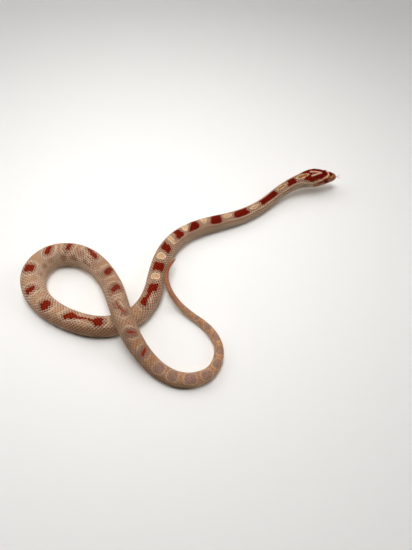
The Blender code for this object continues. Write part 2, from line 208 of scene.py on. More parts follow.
def lift(at):
    """Height of the belly above the floor."""
    neck = NECK_LIFT * (1 - ease(at, NECK_LEAVES, NECK_LANDS))
    hump = HUMP_LIFT * ease(at, *HUMP_UP) * (1 - ease(at, *HUMP_DOWN))
    tail = TAIL_LIFT * ease(at, *TAIL_UP) - TAIL_DROOP * ease(at, TAIL_UP[1], BODY_LENGTH)
    return neck + hump + np.where(np.asarray(at) > TAIL_UP[0], tail, 0)


class Spine:
    """A cubic spline through the route, measured along the floor from the snout."""

    def __init__(self):
        points = np.array(ROUTE, float)
        chord = np.concatenate([[0], np.cumsum(np.linalg.norm(np.diff(points, axis=0), axis=1))])
        fine = np.linspace(0, chord[-1], SPINE_STEPS)
        self.plan = self.spline(chord, points, fine)
        run = np.concatenate([[0], np.cumsum(np.linalg.norm(np.diff(self.plan, axis=0), axis=1))])
        self.run = run * BODY_LENGTH / run[-1]

    @staticmethod
    def spline(knots, values, at):
        """Natural cubic spline: solves for the second derivative at each knot."""
        h = np.diff(knots)
        n = len(knots)
        system = np.eye(n)
        right = np.zeros((n, 2))
        for i in range(1, n - 1):
            system[i, i - 1 : i + 2] = h[i - 1], 2 * (h[i - 1] + h[i]), h[i]
            right[i] = 6 * ((values[i + 1] - values[i]) / h[i] - (values[i] - values[i - 1]) / h[i - 1])
        bend = np.linalg.solve(system, right)
        i = np.clip(np.searchsorted(knots, at, side="right") - 1, 0, n - 2)
        a = ((knots[i + 1] - at) / h[i])[:, None]
        b = 1 - a
        curve = ((a**3 - a) * bend[i] + (b**3 - b) * bend[i + 1]) * h[i][:, None] ** 2 / 6
        return a * values[i] + b * values[i + 1] + curve

    def position(self, at):
        """Belly point at each distance."""
        x = np.interp(at, self.run, self.plan[:, 0])
        y = np.interp(at, self.run, self.plan[:, 1])
        return np.stack([x, y, lift(at)], axis=-1)

    def frame(self, at):
        """Belly point, forward, left and up at each distance. The skull is one straight stretch."""
        at = np.asarray(at, float)
        half = 0.5  # of the short length over which the direction is taken
        held = np.clip(at, HEAD_STRAIGHT, BODY_LENGTH - half)
        forward = self.position(held - half) - self.position(held + half)
        forward /= np.linalg.norm(forward, axis=-1, keepdims=True)
        left = np.cross([0.0, 0.0, 1.0], forward)
        left /= np.linalg.norm(left, axis=-1, keepdims=True)
        up = np.cross(forward, left)
        roll = np.radians(HEAD_ROLL) * (1 - ease(at, NECK_LEAVES, NECK_LANDS))[..., None]
        level_up = up
        left, up = left * np.cos(roll) + up * np.sin(roll), up * np.cos(roll) - left * np.sin(roll)
        point = self.position(held) + forward * (held - at)[..., None] + (level_up - up) * ROLL_AXIS
        return point, forward, left, up

    def place(self, at, across, level):
        """Where a point beside and above the spine lies in the model's frame."""
        point, _, left, up = self.frame(at)
        return point + left * np.asarray(across)[..., None] + up * np.asarray(level)[..., None]


SPINE = Spine()


# ---- the outer surface -------------------------------------------------------------------------------
def superellipse(half_width, top, bottom, level, squareness_up, squareness_down):
    """One closed section per row, from the top round by the left.

    Across is the half-width times the sine of the angle to the power 2/n, and height is the rise from
    the widest level times the cosine to the power 2/n, with one n above that level and one below.
    """
    angle = np.linspace(0, 2 * np.pi, SECTION_STEPS + 1)[None, :]
    side, rise = np.sin(angle), np.cos(angle)
    half_width, top, bottom, level, squareness_up, squareness_down = (
        np.asarray(v, float)[:, None]
        for v in (half_width, top, bottom, level, squareness_up, squareness_down)
    )
    n = np.where(rise > 0, squareness_up, squareness_down)
    tall = np.where(rise > 0, top - level, level - bottom)
    across = half_width * np.sign(side) * np.abs(side) ** (2 / n)
    return across, tall * np.sign(rise) * np.abs(rise) ** (2 / n) + level


def evenly(across, height, count):
    """Each row's outline cut into equal steps. Rows are laid end to end, so one look-up serves all."""
    step = np.hypot(np.diff(across, axis=1), np.diff(height, axis=1))
    run = np.concatenate([np.zeros((len(step), 1)), np.cumsum(step, axis=1)], axis=1)
    offset = 2.0 * np.arange(len(run))[:, None]
    stops = (np.linspace(0, 1, count + 1)[None, :] + offset).ravel()
    known = (run / run[:, -1:] + offset).ravel()
    shape = (len(run), count + 1)
    return [np.interp(stops, known, values.ravel()).reshape(shape) for values in (across, height)]


def body_sections(at, count):
    """A loaf: domed back, squarer belly, cut level where it lies on the floor."""
    width = profile(BODY_WIDTH, at)
    height = width * profile(BODY_HEIGHT_RATIO, at)
    depth = height * BELLY_SHARE
    across, level = superellipse(
        width / 2, height, depth - depth / BELLY_FLAT, depth,
        profile(BACK_SQUARENESS, at), profile(BELLY_SQUARENESS, at),
    )
    return evenly(across, np.maximum(level, 0), count)


def head_sections(at, count):
    """Flat-crowned and widest at the jaw. Each swelling pushes out by a bell curve of the distance."""
    level = profile(HEAD_WIDEST_LEVEL, at)
    square = profile(HEAD_SQUARENESS, at)
    across, height = superellipse(
        profile(HEAD_HALF_WIDTH, at), profile(HEAD_TOP, at), profile(HEAD_BOTTOM, at), level, square,
        square,
    )
    across, height = evenly(across, height, count)
    out = np.stack([across, height - level[:, None]], axis=-1)
    out /= np.linalg.norm(out, axis=-1, keepdims=True)
    at = at[:, None]
    for along, side, up, reach, spread, size in SWELLINGS.values():
        beside = (np.abs(across) - side) ** 2 + (height - up) ** 2
        push = size * np.exp(-(((at - along) / reach) ** 2) - beside / spread**2)
        across = across + out[..., 0] * push
        height = height + out[..., 1] * push
    return across, height


class Shell:
    """The outer surface as a table of places and outward directions.

    Rows are distances from the snout, with a few before 0 that close the front of the snout, and
    columns are shares of the way round. A place between them is taken in proportion.
    """

    COLUMNS = 240
    FRONT_ROWS, FRONT_SIZE = 6, 0.02  # rows that close the snout, and the size of the first
    HEAD_END, HEAD_STEP, BODY_STEP = 24, 0.1, 0.25

    def __init__(self):
        head = np.arange(0, self.HEAD_END, self.HEAD_STEP)
        body = np.arange(self.HEAD_END, TIP, self.BODY_STEP)
        front = np.linspace(-1, 0, self.FRONT_ROWS + 1)[:-1]
        self.rows = np.concatenate([front, head, body, [TIP]])
        at = np.maximum(self.rows, 0)
        head, body = head_sections(at, self.COLUMNS), body_sections(at, self.COLUMNS)
        share = ease(at, *HEAD_MEETS_BODY)[:, None]
        across, level = (h + (b - h) * share for h, b in zip(head, body))
        centre = level.mean(axis=1, keepdims=True)
        shrink = np.clip(1 + self.rows, self.FRONT_SIZE, 1)[:, None]
        across, level = across * shrink, centre + (level - centre) * shrink
        self.round = np.hypot(np.diff(across, axis=1), np.diff(level, axis=1)).sum(axis=1)
        self.place = SPINE.place(np.repeat(at[:, None], self.COLUMNS + 1, axis=1), across, level)
        ahead = np.gradient(self.place, axis=0)
        wrapped = np.concatenate([self.place[:, -2:-1], self.place, self.place[:, 1:2]], axis=1)
        sideways = (wrapped[:, 2:] - wrapped[:, :-2]) / 2
        out = np.cross(sideways, ahead)
        self.out = out / np.maximum(np.linalg.norm(out, axis=-1, keepdims=True), 1e-12)

    def girth(self, at):
        """Millimetres round the section at each distance."""
        return np.interp(at, self.rows, self.round)

    def at(self, along, share, rise=0.0):
        """Places on the surface, raised by rise along its outward direction."""
        along, share = np.broadcast_arrays(np.asarray(along, float), np.asarray(share, float))
        row = np.interp(along, self.rows, np.arange(len(self.rows)))
        column = (share % 1.0) * self.COLUMNS
        r = np.minimum(row.astype(int), len(self.rows) - 2)
        c = np.minimum(column.astype(int), self.COLUMNS - 1)
        u, v = (row - r)[..., None], (column - c)[..., None]

        def between(table):
            near = table[r, c] * (1 - v) + table[r, c + 1] * v
            far = table[r + 1, c] * (1 - v) + table[r + 1, c + 1] * v
            return near * (1 - u) + far * u

        return between(self.place) + between(self.out) * np.broadcast_to(rise, along.shape)[..., None]


SHELL = Shell()


def half_round(share):
    """A share of the way round from the middle of the back: to 0.5 on the left, -0.5 on the right."""
    return (share + 0.5) % 1.0 - 0.5


# ---- the markings ------------------------------------------------------------------------------------
# Patches are given as rows from the animal's right to its left: millimetres round from the middle of
# the back, and the patch's first and last distance from the snout there.
SADDLES = [
    [(-2.1, 31.0, 35.8), (-1.6, 29.9, 36.9), (-0.2, 30.0, 35.7), (0.6, 30.2, 35.0), (1.8, 30.1, 35.3),
     (2.5, 31.0, 34.8)],
    [(-2.4, 47.5, 60.0), (-1.8, 45.2, 62.0), (0.0, 46.2, 60.7), (1.6, 45.4, 61.6), (2.1, 46.5, 60.0)],
    [(-3.3, 74.0, 81.6), (-2.4, 72.0, 83.6), (0.0, 72.8, 81.9), (1.9, 71.9, 81.2), (2.4, 73.5, 80.0)],
    [(-4.2, 93.0, 98.1), (-3.0, 91.8, 99.5), (0.0, 91.3, 98.5), (3.2, 91.0, 97.5), (3.8, 92.1, 96.5)],
    [(-3.9, 110.5, 113.5), (-3.2, 108.6, 115.2), (-2.0, 107.2, 115.4), (-0.6, 107.0, 113.0),
     (0.4, 107.2, 112.0), (2.0, 107.3, 111.4), (4.0, 108.0, 111.2), (4.6, 109.0, 110.5)],
    [(-3.9, 121.8, 124.0), (-3.2, 120.2, 125.2), (-1.5, 119.2, 125.8), (0.0, 120.1, 124.7),
     (2.5, 120.0, 123.7), (4.2, 121.0, 122.9)],
    [(-3.9, 135.7, 138.9), (-3.2, 134.3, 139.7), (-0.5, 133.2, 138.6), (2.2, 132.1, 137.3),
     (2.9, 133.1, 136.3)],
    [(-4.0, 149.1, 152.7), (-3.2, 147.8, 154.0), (0.0, 148.0, 153.8), (2.0, 147.8, 153.9),
     (2.7, 148.9, 152.8)],
    [(-3.6, 164.0, 166.2), (-2.8, 162.8, 167.4), (0.0, 163.4, 168.9), (1.5, 164.2, 169.2),
     (2.1, 165.4, 168.6)],
    [(-2.7, 177.0, 178.0), (-2.0, 176.1, 178.4), (-0.6, 174.3, 178.4), (1.5, 173.4, 178.0),
     (2.1, 174.4, 177.2)],
    [(-3.2, 189.8, 193.2), (-2.4, 188.5, 194.5), (2.0, 188.5, 194.5), (2.6, 189.8, 193.2)],
    [(-2.7, 203.0, 205.3), (-2.0, 201.8, 206.4), (2.0, 201.8, 206.6), (2.8, 203.0, 205.6)],
    [(-2.6, 221.6, 223.0), (-2.0, 220.4, 223.6), (-0.8, 217.6, 223.7), (0.4, 216.3, 223.3),
     (1.5, 217.6, 222.4), (2.5, 219.2, 221.4)],
    [(-4.2, 235.8, 237.9), (-3.4, 234.4, 239.1), (-1.5, 234.1, 239.1), (1.6, 234.1, 238.7),
     (2.3, 235.3, 237.7)],
    [(-4.5, 249.9, 251.3), (-3.6, 248.9, 252.0), (0.6, 248.9, 252.0), (1.4, 249.9, 251.1)],
    [(-3.7, 264.0, 266.0), (-3.2, 262.6, 267.4), (1.6, 262.6, 267.4), (2.4, 263.8, 266.2)],
    [(-3.8, 281.2, 283.0), (-3.0, 280.2, 283.5), (0.0, 278.4, 282.4), (1.6, 277.9, 281.6),
     (2.7, 278.4, 280.4)],
    [(-4.6, 292.3, 293.4), (-3.8, 291.3, 294.0), (1.2, 291.3, 294.0), (1.8, 292.3, 293.2)],
    [(-4.7, 303.0, 305.2), (-4.0, 302.4, 307.6), (-3.0, 303.4, 311.4), (-0.9, 306.8, 312.5),
     (-0.3, 308.4, 311.8)],
    [(-5.3, 323.0, 325.4), (-4.5, 322.0, 326.8), (-1.5, 323.9, 331.5), (0.4, 326.2, 331.0),
     (1.2, 327.6, 330.2)],
    [(-4.2, 343.2, 345.0), (-3.5, 342.5, 345.6), (-1.5, 342.0, 346.5), (0.0, 343.0, 346.9),
     (1.2, 344.2, 347.1), (1.8, 344.8, 346.6)],
    [(-1.6, 357.9, 359.2), (-1.3, 357.4, 359.4), (0.0, 355.1, 357.0), (0.7, 352.2, 354.0),
     (1.0, 352.3, 353.2)],
    [(-1.6, 367.7, 368.5), (0.0, 367.1, 368.1), (1.1, 366.5, 367.5)],
    [(-2.2, 377.0, 378.0), (-1.8, 376.7, 378.4), (1.3, 377.9, 379.6), (1.7, 378.3, 379.3)],
]
BLUR = 0.18  # half-width of a saddle's edge
REDNESS = [
    (0, 1.0), (286, 1.0), (300, 0.95), (348, 0.95), (352, 0.75), (360, 0.75), (367, 0.85), (504, 0.85),
]
STREAKS = [  # red bars, between saddles and on the hind body: half-width, strength and run
    (0.3, 0.55, [(25.0, -1.9), (30.5, -2.0)]),
    (1.15, 1.0, [(168.0, 0.1), (174.5, 0.1)]),
    (0.7, 1.0, [(206.0, 0.0), (211.0, 1.0), (216.5, 0.3)]),
    (0.45, 0.8, [(352.9, 0.8), (355.8, 0.2), (357.6, -0.6), (358.8, -1.8)]),
    (0.45, 1.0, [(366.7, 1.1), (367.3, -0.4), (368.3, -2.0)]),
    (0.6, 1.0, [(379.0, 1.3), (377.9, -0.2), (377.0, -1.9)]),
]
CRISP_FROM = 350.0  # behind this the red doesn't follow the scales' outlines
DISCS = [  # dull saddles of the hind body and tail: first and last distance
    (387.7, 394.3), (397.3, 402.0), (405.8, 411.3), (414.5, 419.3), (422.5, 427.0), (430.0, 434.5),
    (438.0, 443.0), (446.0, 450.5), (455.0, 458.0), (462.0, 465.5),
]
RING_BLUR = 0.3
DISC_RIM = 0.3
DISC_HALF = 0.37  # of the body's width
DISC_AT = 0.4  # this far round to the left of the middle row
DISC_FADE = (448.0, 470.0, 0.55)  # from, to and by how much a disc fades towards the tip
DISC_LINE_FADE = (456.0, 474.0)
DISC_LINE = (0.85, 0.15)  # strength of the pale line round a disc, before and behind that
RING_WIDTH = [  # brown border round each saddle
    (0, 0.9), (62.9, 0.9), (88, 1.0), (104, 1.3), (139, 1.7), (180, 2.0), (234, 2.0), (304, 2.2),
    (328, 2.8), (342, 2.3), (355, 2.6), (367, 2.0), (380, 2.3), (504, 2.3),
]
LINE_BLUR = 0.2
LINES_FADE = (0.15, 0.24, 0.85)  # share round from and to which pale lines fade, and by how much
LINE_WIDTH = [(0, 0.5), (254, 0.5), (404, 0.45), (444, 0.45), (504, 0.25)]
LINES = [  # pale lines over the back: (distance, millimetres round)
    [(180.4, 2.5), (180.9, 0.0), (181.3, -2.7)],
    [(172.8, -2.5), (175.0, -3.3), (177.2, -4.0)],
    [(199.0, 2.2), (199.0, -1.0), (201.5, -3.3)],
    [(207.0, -2.6), (211.0, -1.6), (215.0, -1.0), (219.0, -2.2), (222.0, -3.6)],
    [(225.0, 2.7), (226.0, 0.5), (227.5, -2.0)],
    [(231.7, 2.0), (231.7, -1.5), (234.0, -4.5)],
    [(242.0, 2.0), (242.2, -1.0), (241.5, -4.0)],
    [(247.0, 1.2), (246.8, -2.0), (247.8, -4.6)],
    [(254.7, 1.4), (254.9, -2.0), (253.8, -4.6)],
    [(260.5, -3.0), (260.2, 0.0), (260.8, 2.6), (262.5, 4.0), (267.0, 4.0), (269.4, 2.6), (270.0, 0.0),
     (269.6, -3.0)],
    [(278.0, -2.5), (276.4, 0.0), (275.5, 1.5), (276.3, 3.6), (278.5, 4.5), (282.5, 4.4), (285.0, 2.5),
     (285.5, -1.5), (285.0, -3.4)],
    [(288.6, 2.2), (288.4, -1.0), (288.8, -4.4)],
    [(296.5, 2.2), (296.6, -1.0), (296.2, -4.6)],
    [(304.0, 0.2), (306.5, 0.35), (309.0, 0.1)],
    [(301.0, -1.0), (300.3, -3.0), (300.5, -5.0)],
    [(314.5, 0.0), (314.2, -2.5), (313.0, -5.0)],
    [(319.5, 0.5), (319.0, -2.0), (318.6, -5.0)],
    [(334.5, 1.6), (334.8, -1.5), (333.6, -4.6)],
    [(340.0, 1.6), (339.6, -1.5), (340.2, -4.0)],
    [(349.0, 1.8), (349.2, -1.0), (348.4, -3.6)],
    [(351.8, 2.6), (350.7, 0.6), (350.5, -2.4)],
    [(352.4, -1.3), (354.6, -1.6), (357.6, -2.6)],
    [(359.4, 2.1), (361.0, 0.6), (361.2, -1.5), (360.7, -3.4)],
    [(365.2, 2.8), (364.4, 0.8), (365.0, -1.5), (366.3, -3.4)],
    [(369.2, 2.5), (370.5, 0.7), (370.7, -2.6)],
    [(375.6, 2.4), (374.4, 0.5), (374.3, -2.6)],
    [(381.3, 2.4), (382.5, 0.8), (381.6, -1.6), (379.9, -3.5)],
]
OVALS = [  # closed ovals between the saddles of the fore body: how tan the middle is, and rows as above
    (1.0, [(-0.9, 24.5, 25.5), (-0.3, 22.0, 28.0), (0.7, 20.5, 29.5), (1.7, 22.0, 28.0),
     (2.3, 24.3, 25.7)]),
    (1.0, [(-0.8, 40.2, 41.2), (-0.3, 38.0, 43.4), (0.45, 37.0, 44.6), (1.2, 38.0, 43.4),
     (1.7, 40.2, 41.2)]),
    (0.75, [(-1.9, 66.6, 67.8), (-1.3, 64.6, 69.8), (-0.5, 63.5, 71.0), (0.3, 64.6, 69.8),
     (0.8, 66.6, 67.8)]),
    (0.7, [(-1.8, 86.6, 87.6), (-1.1, 84.8, 89.4), (0.0, 84.0, 90.2), (1.1, 84.8, 89.4),
     (1.8, 86.6, 87.6)]),
    (0.7, [(-2.4, 103.3, 103.7), (-1.0, 102.2, 104.6), (1.0, 101.0, 105.1), (3.0, 101.4, 104.6),
     (4.5, 102.6, 103.4)]),
    (0.55, [(-1.9, 117.1, 117.6), (-0.5, 115.4, 118.4), (1.5, 114.2, 118.3), (3.5, 114.0, 117.6),
     (5.0, 115.2, 116.4)]),
    (0.6, [(-3.5, 130.0, 131.2), (-1.5, 128.0, 131.0), (1.5, 127.2, 130.0), (3.5, 126.5, 129.2),
     (4.5, 126.8, 128.0)]),
    (0.6, [(-3.2, 142.4, 143.6), (-2.2, 141.2, 145.2), (0.0, 140.6, 145.6), (1.8, 141.0, 145.2),
     (2.6, 142.4, 143.6)]),
    (0.6, [(-3.1, 157.6, 158.8), (-2.2, 156.3, 160.1), (0.0, 156.0, 160.3), (1.6, 156.3, 160.1),
     (2.3, 157.6, 158.8)]),
]
OVAL_RIM = 0.45  # cream, round a tan middle
OVAL_RING = 0.6  # brown border between an oval and the red
OVAL_RING_BLUR = 0.2
OVAL_REACH = 0.3  # past its edge, places still count as tan
OVAL_BLUR = 0.12
OVAL_FAR = 3.0
SPACES_FROM = 170.0  # behind this the spaces between saddles are tan
SPACE_GAP = (0.55, 0.45)  # bare between a saddle's or a disc's border and a tan space
SPACE_HALF = 0.36  # of the body's width
SPACE_POWER, SPACE_BLUR, SPACE_STRENGTH = 2.6, 0.4, 0.75
SPACE_LEAST = 0.8  # a shorter space stays plain
NECK_STRIPE = [  # pale, on both sides, from the corner of the jaw
    (19, 7.4), (21, 6.6), (24, 5.7), (26, 4.6), (28, 3.8), (30, 3.5), (35, 3.4), (45, 3.1), (55, 2.8),
    (60, 3.2), (66, 3.0), (72, 3.6), (78, 3.8), (84, 3.7), (87, 3.2), (92, 4.1), (97, 4.3), (103, 3.4),
    (108, 4.3), (112.5, 4.6), (118, 3.6), (122, 4.6), (126, 4.3), (131, 3.6),
]
NECK_STRIPE_HALF, NECK_STRIPE_BLUR = 0.32, 0.22
NECK_STRIPE_BEGINS = (18.0, 20.0)
NECK_STRIPE_FADES = (60.0, 120.0, 0.5)  # from, to and by how much
STRIPE_SHADOW = (1.0, 0.3, 0.25, 0.7)  # how far below the stripe, half-width, blur and strength
STRIPE_SHADOW_BEGINS = (26.0, 32.0)

HEAD_MIDDLE = 0.7  # the crown's markings lie this far round to the left
HEAD_BAND = [
    (6.1, 0.0), (6.2, 1.1), (8, 3.2), (10, 4.2), (11.7, 5.2), (14.4, 6.2), (18, 7.2), (19.3, 7.6),
]
CROWN_EDGE = [
    (7.0, 0.0), (7.4, 1.2), (9.4, 2.5), (10.1, 3.1), (10.8, 3.7), (12, 4.4), (14.4, 4.6), (16.2, 5.3),
    (19, 6.0), (20.8, 5.6), (22.6, 4.3), (25, 3.1), (26, 0.0),
]
CROWN_MARK = [  # half of a U, open to the rear
    (18.8, 1.75), (17.0, 1.5), (15.0, 1.0), (13.2, 0.45), (11.6, 0.0),
]
CROWN_SLIT = [(14.8, 0.0), (18.0, 0.0)]
SNOUT_PATCH = (2.5, 5.3, -1.4, 2.5, 2.4)  # first and last distance, right and left edge, power
# Painted highlight beside each nostril, laid on as a pale streak.
NOSTRIL_HIGHLIGHT = [(2.8, 1.0), (4.5, 3.2)]
HEAD_PALE = [  # pale marks of the crown, and the painted highlight beside each nostril: course, half-width, blur, strength
    (HEAD_BAND, 0.42, 0.22, 1.0), (CROWN_MARK, 0.62, 0.2, 1.0), (CROWN_SLIT, 0.3, 0.2, 0.45),
    (NOSTRIL_HIGHLIGHT, 0.35, 0.25, 0.7),
]
EYE_STRIPE = [(9.8, 5.6), (11.4, 6.1), (14.0, 7.2)]
EYE_STRIPE_HALF = 0.6
EYE_SHADE = (8.5, 5.35, 1.95)  # middle and radius of the painted shade round the eye, under the brow, laid on in the crown's red
CROWN_BEGINS, CROWN_ENDS = (7.1, 7.5), (25.4, 26.0)
CROWN_BLUR = 0.2
HEAD_RED = {"snout": (0.3, 0.95), "stripe": (0.3, 0.75), "eye": (0.2, 0.9)}  # blur, strength; the eye's is painted shade
HEAD_ENDS = (27.5, 29.0)
CHEEK_PALE = (18.0, 24.0, 6.9, 8.9, 0.55)  # fades along, begins round, and strength
BELLY_BEGINS = (0.32, 0.365)  # share round
FLANK_BEGINS = (0.12, 0.24)  # share round from the middle row
SIDE_BLOTCHES = [  # share round, half-length, half-height, along
    (0.165, 2.1, 0.040, 0.5), (0.250, 1.8, 0.034, 0.0),
]
SIDE_BLOTCH = 0.35  # strength
SIDE_BLOTCH_SHORTER = 0.2  # of the way from one saddle to the next, at most
SIDE_BLOTCH_STRAY = (0.008, 2.4)  # share round by which they stray, and radians from one to the next
SIDE_BLOTCH_FIRST = 3  # the saddle from which on they lie
BLOTCH_POWER = 1.5  # 2 is an oval, 1 a lozenge
SIDE_BLOTCH_EDGES, LOOP_BLOTCH_EDGES = (0.7, 1.25), (0.75, 1.15)
# Blur of the painted shade on the flanks.
PAINTED_SHADE_BLUR = 0.8
LOOP_SIDE = (255.0, 328.0)  # the left flank here carries the blotches below instead
LOOP_BLOTCHES = [  # distance, millimetres round, half-length, half-height, strength
    (257.2, 3.1, 1.95, 1.56, 0.65), (262, 6.5, 2.47, 2.08, 0.62), (271, 6.7, 2.6, 2.08, 0.75),
    (278.2, 6.7, 3.12, 1.82, 0.59), (289.8, 6.8, 2.73, 2.47, 0.85), (298, 5.8, 3.25, 1.82, 0.85),
    (302.3, 2, 2.99, 2.08, 0.68), (307.4, 5, 2.08, 1.56, 0.85), (311.6, 5.2, 2.34, 1.3, 0.77),
    (314.3, 1.7, 2.73, 1.82, 0.68), (315.6, 4.4, 1.3, 1.56, 0.68), (322.5, 4.2, 2.86, 1.56, 0.59),
]
PAINTED_SHADE_FLANKS = [  # painted shade on flanks that lie in shadow near the crossing and the tail: first and last distance, right and left edge, strength
    (190.0, 238.0, -9.5, -3.3, 0.9), (380.0, 410.0, 3.0, 7.0, 0.5),
]


def soft(distance, width=BLUR):
    """1 inside, where the distance is below 0, and 0 outside, with a narrow blur between."""
    return 1 - ease(distance, -width, width)


def blob(at, side, first, last, right, left, power=3.0):
    """About how far outside a rounded patch each place lies: below 0 is inside.

    The patch is where |along|^power + |across|^power is below 1, each from -1 to 1 over the patch.
    """
    reach, half = (last - first) / 2, (left - right) / 2
    u = np.abs(at - (first + last) / 2) / reach
    v = np.abs(side - (right + left) / 2) / half
    return ((u**power + v**power) ** (1 / power) - 1) * np.minimum(reach, half)


def off_line(at, side, points):
    """Distance to a run of straight pieces."""
    nearest = np.full(np.shape(at), FAR)
    for (x0, y0), (x1, y1) in zip(points, points[1:]):
        dx, dy = x1 - x0, y1 - y0
        t = np.clip(((at - x0) * dx + (side - y0) * dy) / (dx * dx + dy * dy), 0, 1)
        nearest = np.minimum(nearest, np.hypot(at - x0 - t * dx, side - y0 - t * dy))
    return nearest


def patch(at, side, rows):
    """About how far outside a patch a place lies: below 0 is inside. Straight edges join the rows."""
    rows = np.array(rows, float)
    first, last = (np.interp(side, rows[:, 0], rows[:, k]) for k in (1, 2))
    along = np.abs(at - (first + last) / 2) - (last - first) / 2
    across = np.maximum(rows[0, 0] - side, side - rows[-1, 0])
    return np.where((along > 0) & (across > 0), np.hypot(along, across), np.maximum(along, across))


def saddles_and_rings(at, side, lean):
    """The red and its brown border, 1 less an ease of the distance, and how far off the discs are."""
    nearest, disc = np.full(np.shape(at), FAR), np.full(np.shape(at), FAR)
    for rows in SADDLES:
        nearest = np.minimum(nearest, patch(at, side, rows))
    saddle = soft(nearest) * profile(REDNESS, at)
    for half, strength, points in STREAKS:
        saddle = np.maximum(saddle, soft(off_line(at, side, points) - half) * strength)
    half = profile(BODY_WIDTH, at) * DISC_HALF
    for first, last in DISCS:
        disc = np.minimum(disc, blob(at, side - lean - DISC_AT, first, last, -half, half))
    start, end, less = DISC_FADE
    tail = soft(disc - DISC_RIM, RING_BLUR) * (1 - less * ease(at, start, end))
    return saddle, np.maximum(soft(nearest - profile(RING_WIDTH, at), RING_BLUR), tail), disc


def pale_lines(at, side, wide, girth, disc):
    """Lines over the back and round the discs, which fade where the flank begins."""
    half = profile(LINE_WIDTH, at) / 2
    line = np.zeros(np.shape(at))
    for points in LINES:
        line = np.maximum(line, soft(off_line(at, side, points) - half, LINE_BLUR))
    strong, weak = DISC_LINE
    strength = strong + (weak - strong) * ease(at, *DISC_LINE_FADE)
    line = np.maximum(line, soft(np.abs(disc - DISC_RIM - half) - half, LINE_BLUR) * strength)
    start, end, less = LINES_FADE
    return line * (1 - less * ease(wide / girth, start, end))


def ovals_and_spaces(at, side, lean, ends):
    """How far outside an oval each place lies, how tan it is, and how far an oval cuts into the red."""
    oval, heart, cut = np.full(np.shape(at), OVAL_FAR), np.zeros(np.shape(at)), np.zeros(np.shape(at))
    for tan, rows in OVALS:
        d = patch(at, side, rows)
        heart = np.maximum(heart, (d < OVAL_REACH) * tan)
        cut = np.maximum(cut, soft(d - OVAL_RING, OVAL_RING_BLUR))
        oval = np.minimum(oval, d)
    for (_, a), (b, _) in zip(ends, ends[1:]):
        on_disc = b >= DISCS[0][0]
        gap = SPACE_GAP[on_disc] + (DISC_RIM if on_disc else profile(RING_WIDTH, a))
        if b > SPACES_FROM and b - a > 2 * gap + SPACE_LEAST:
            far = SPACE_HALF * profile(BODY_WIDTH, a)
            d = blob(at, side - lean, a + gap, b - gap, -far, far, SPACE_POWER)
            heart = np.maximum(heart, soft(d, SPACE_BLUR) * SPACE_STRENGTH)
    return oval, heart, cut


def head_marks(at, side, cut):
    """The red crown, snout and eye stripes, the painted shade round the eye, and the pale marks over
    them with the painted highlight beside each nostril.
    """
    crown = np.abs(side - HEAD_MIDDLE)
    eye, level, radius = EYE_SHADE
    red = soft(crown - profile(CROWN_EDGE, at), CROWN_BLUR) * (1 - cut)
    red *= ease(at, *CROWN_BEGINS) * (1 - ease(at, *CROWN_ENDS))
    off = {
        "snout": blob(at, side, *SNOUT_PATCH),
        "stripe": off_line(at, np.abs(side), EYE_STRIPE) - EYE_STRIPE_HALF,
        # Painted shade round the eye, under the brow.
        "eye": np.hypot(at - eye, np.abs(side) - level) - radius,
    }
    for key, (blur, strength) in HEAD_RED.items():
        red = np.maximum(red, soft(off[key], blur) * strength)
    pale_and_highlight = np.zeros(np.shape(at))
    for points, half, blur, strength in HEAD_PALE:
        pale_and_highlight = np.maximum(pale_and_highlight, soft(off_line(at, crown, points) - half, blur) * strength)
    return red * (1 - pale_and_highlight), pale_and_highlight


def spot(u, v, edges):
    """1 where |u|^power + |v|^power is below the first edge, and 0 above the second."""
    return 1 - ease(np.abs(u) ** BLOTCH_POWER + np.abs(v) ** BLOTCH_POWER, *edges)


def side_blotches_and_shade(at, side, wide, girth, ends):
    """Dull blotches of the flanks, two to a saddle, those of the loop's left flank one by one, and the
    painted shade of flanks that lie in shadow.
    """
    blotch_and_shade = np.zeros(np.shape(at))
    on_loop = (at > LOOP_SIDE[0]) & (at < LOOP_SIDE[1]) & (side > 0)
    stray, turn = SIDE_BLOTCH_STRAY
    ends = ends[SIDE_BLOTCH_FIRST:]
    for number, (a, b) in enumerate(zip(ends, ends[1:])):
        for out, long, tall, on in SIDE_BLOTCHES:
            middle = (a[0] + a[1]) / 2 * (1 - on) + (b[0] + b[1]) / 2 * on
            u = (at - middle) / min(long, (b[0] - a[0]) * SIDE_BLOTCH_SHORTER)
            v = (wide / girth - out - stray * math.sin(number * turn)) / tall
            blotch_and_shade = np.maximum(blotch_and_shade, SIDE_BLOTCH * spot(u, v, SIDE_BLOTCH_EDGES) * ~on_loop)
    for middle, level, long, tall, strength in LOOP_BLOTCHES:
        u, v = (at - middle) / long, (side - level) / tall
        blotch_and_shade = np.maximum(blotch_and_shade, spot(u, v, LOOP_BLOTCH_EDGES) * strength)
    # Painted shade on the flanks that lie in shadow near the crossing and the tail.
    for *edges, strength in PAINTED_SHADE_FLANKS:
        blotch_and_shade = np.maximum(blotch_and_shade, soft(blob(at, side, *edges), PAINTED_SHADE_BLUR) * strength)
    return blotch_and_shade


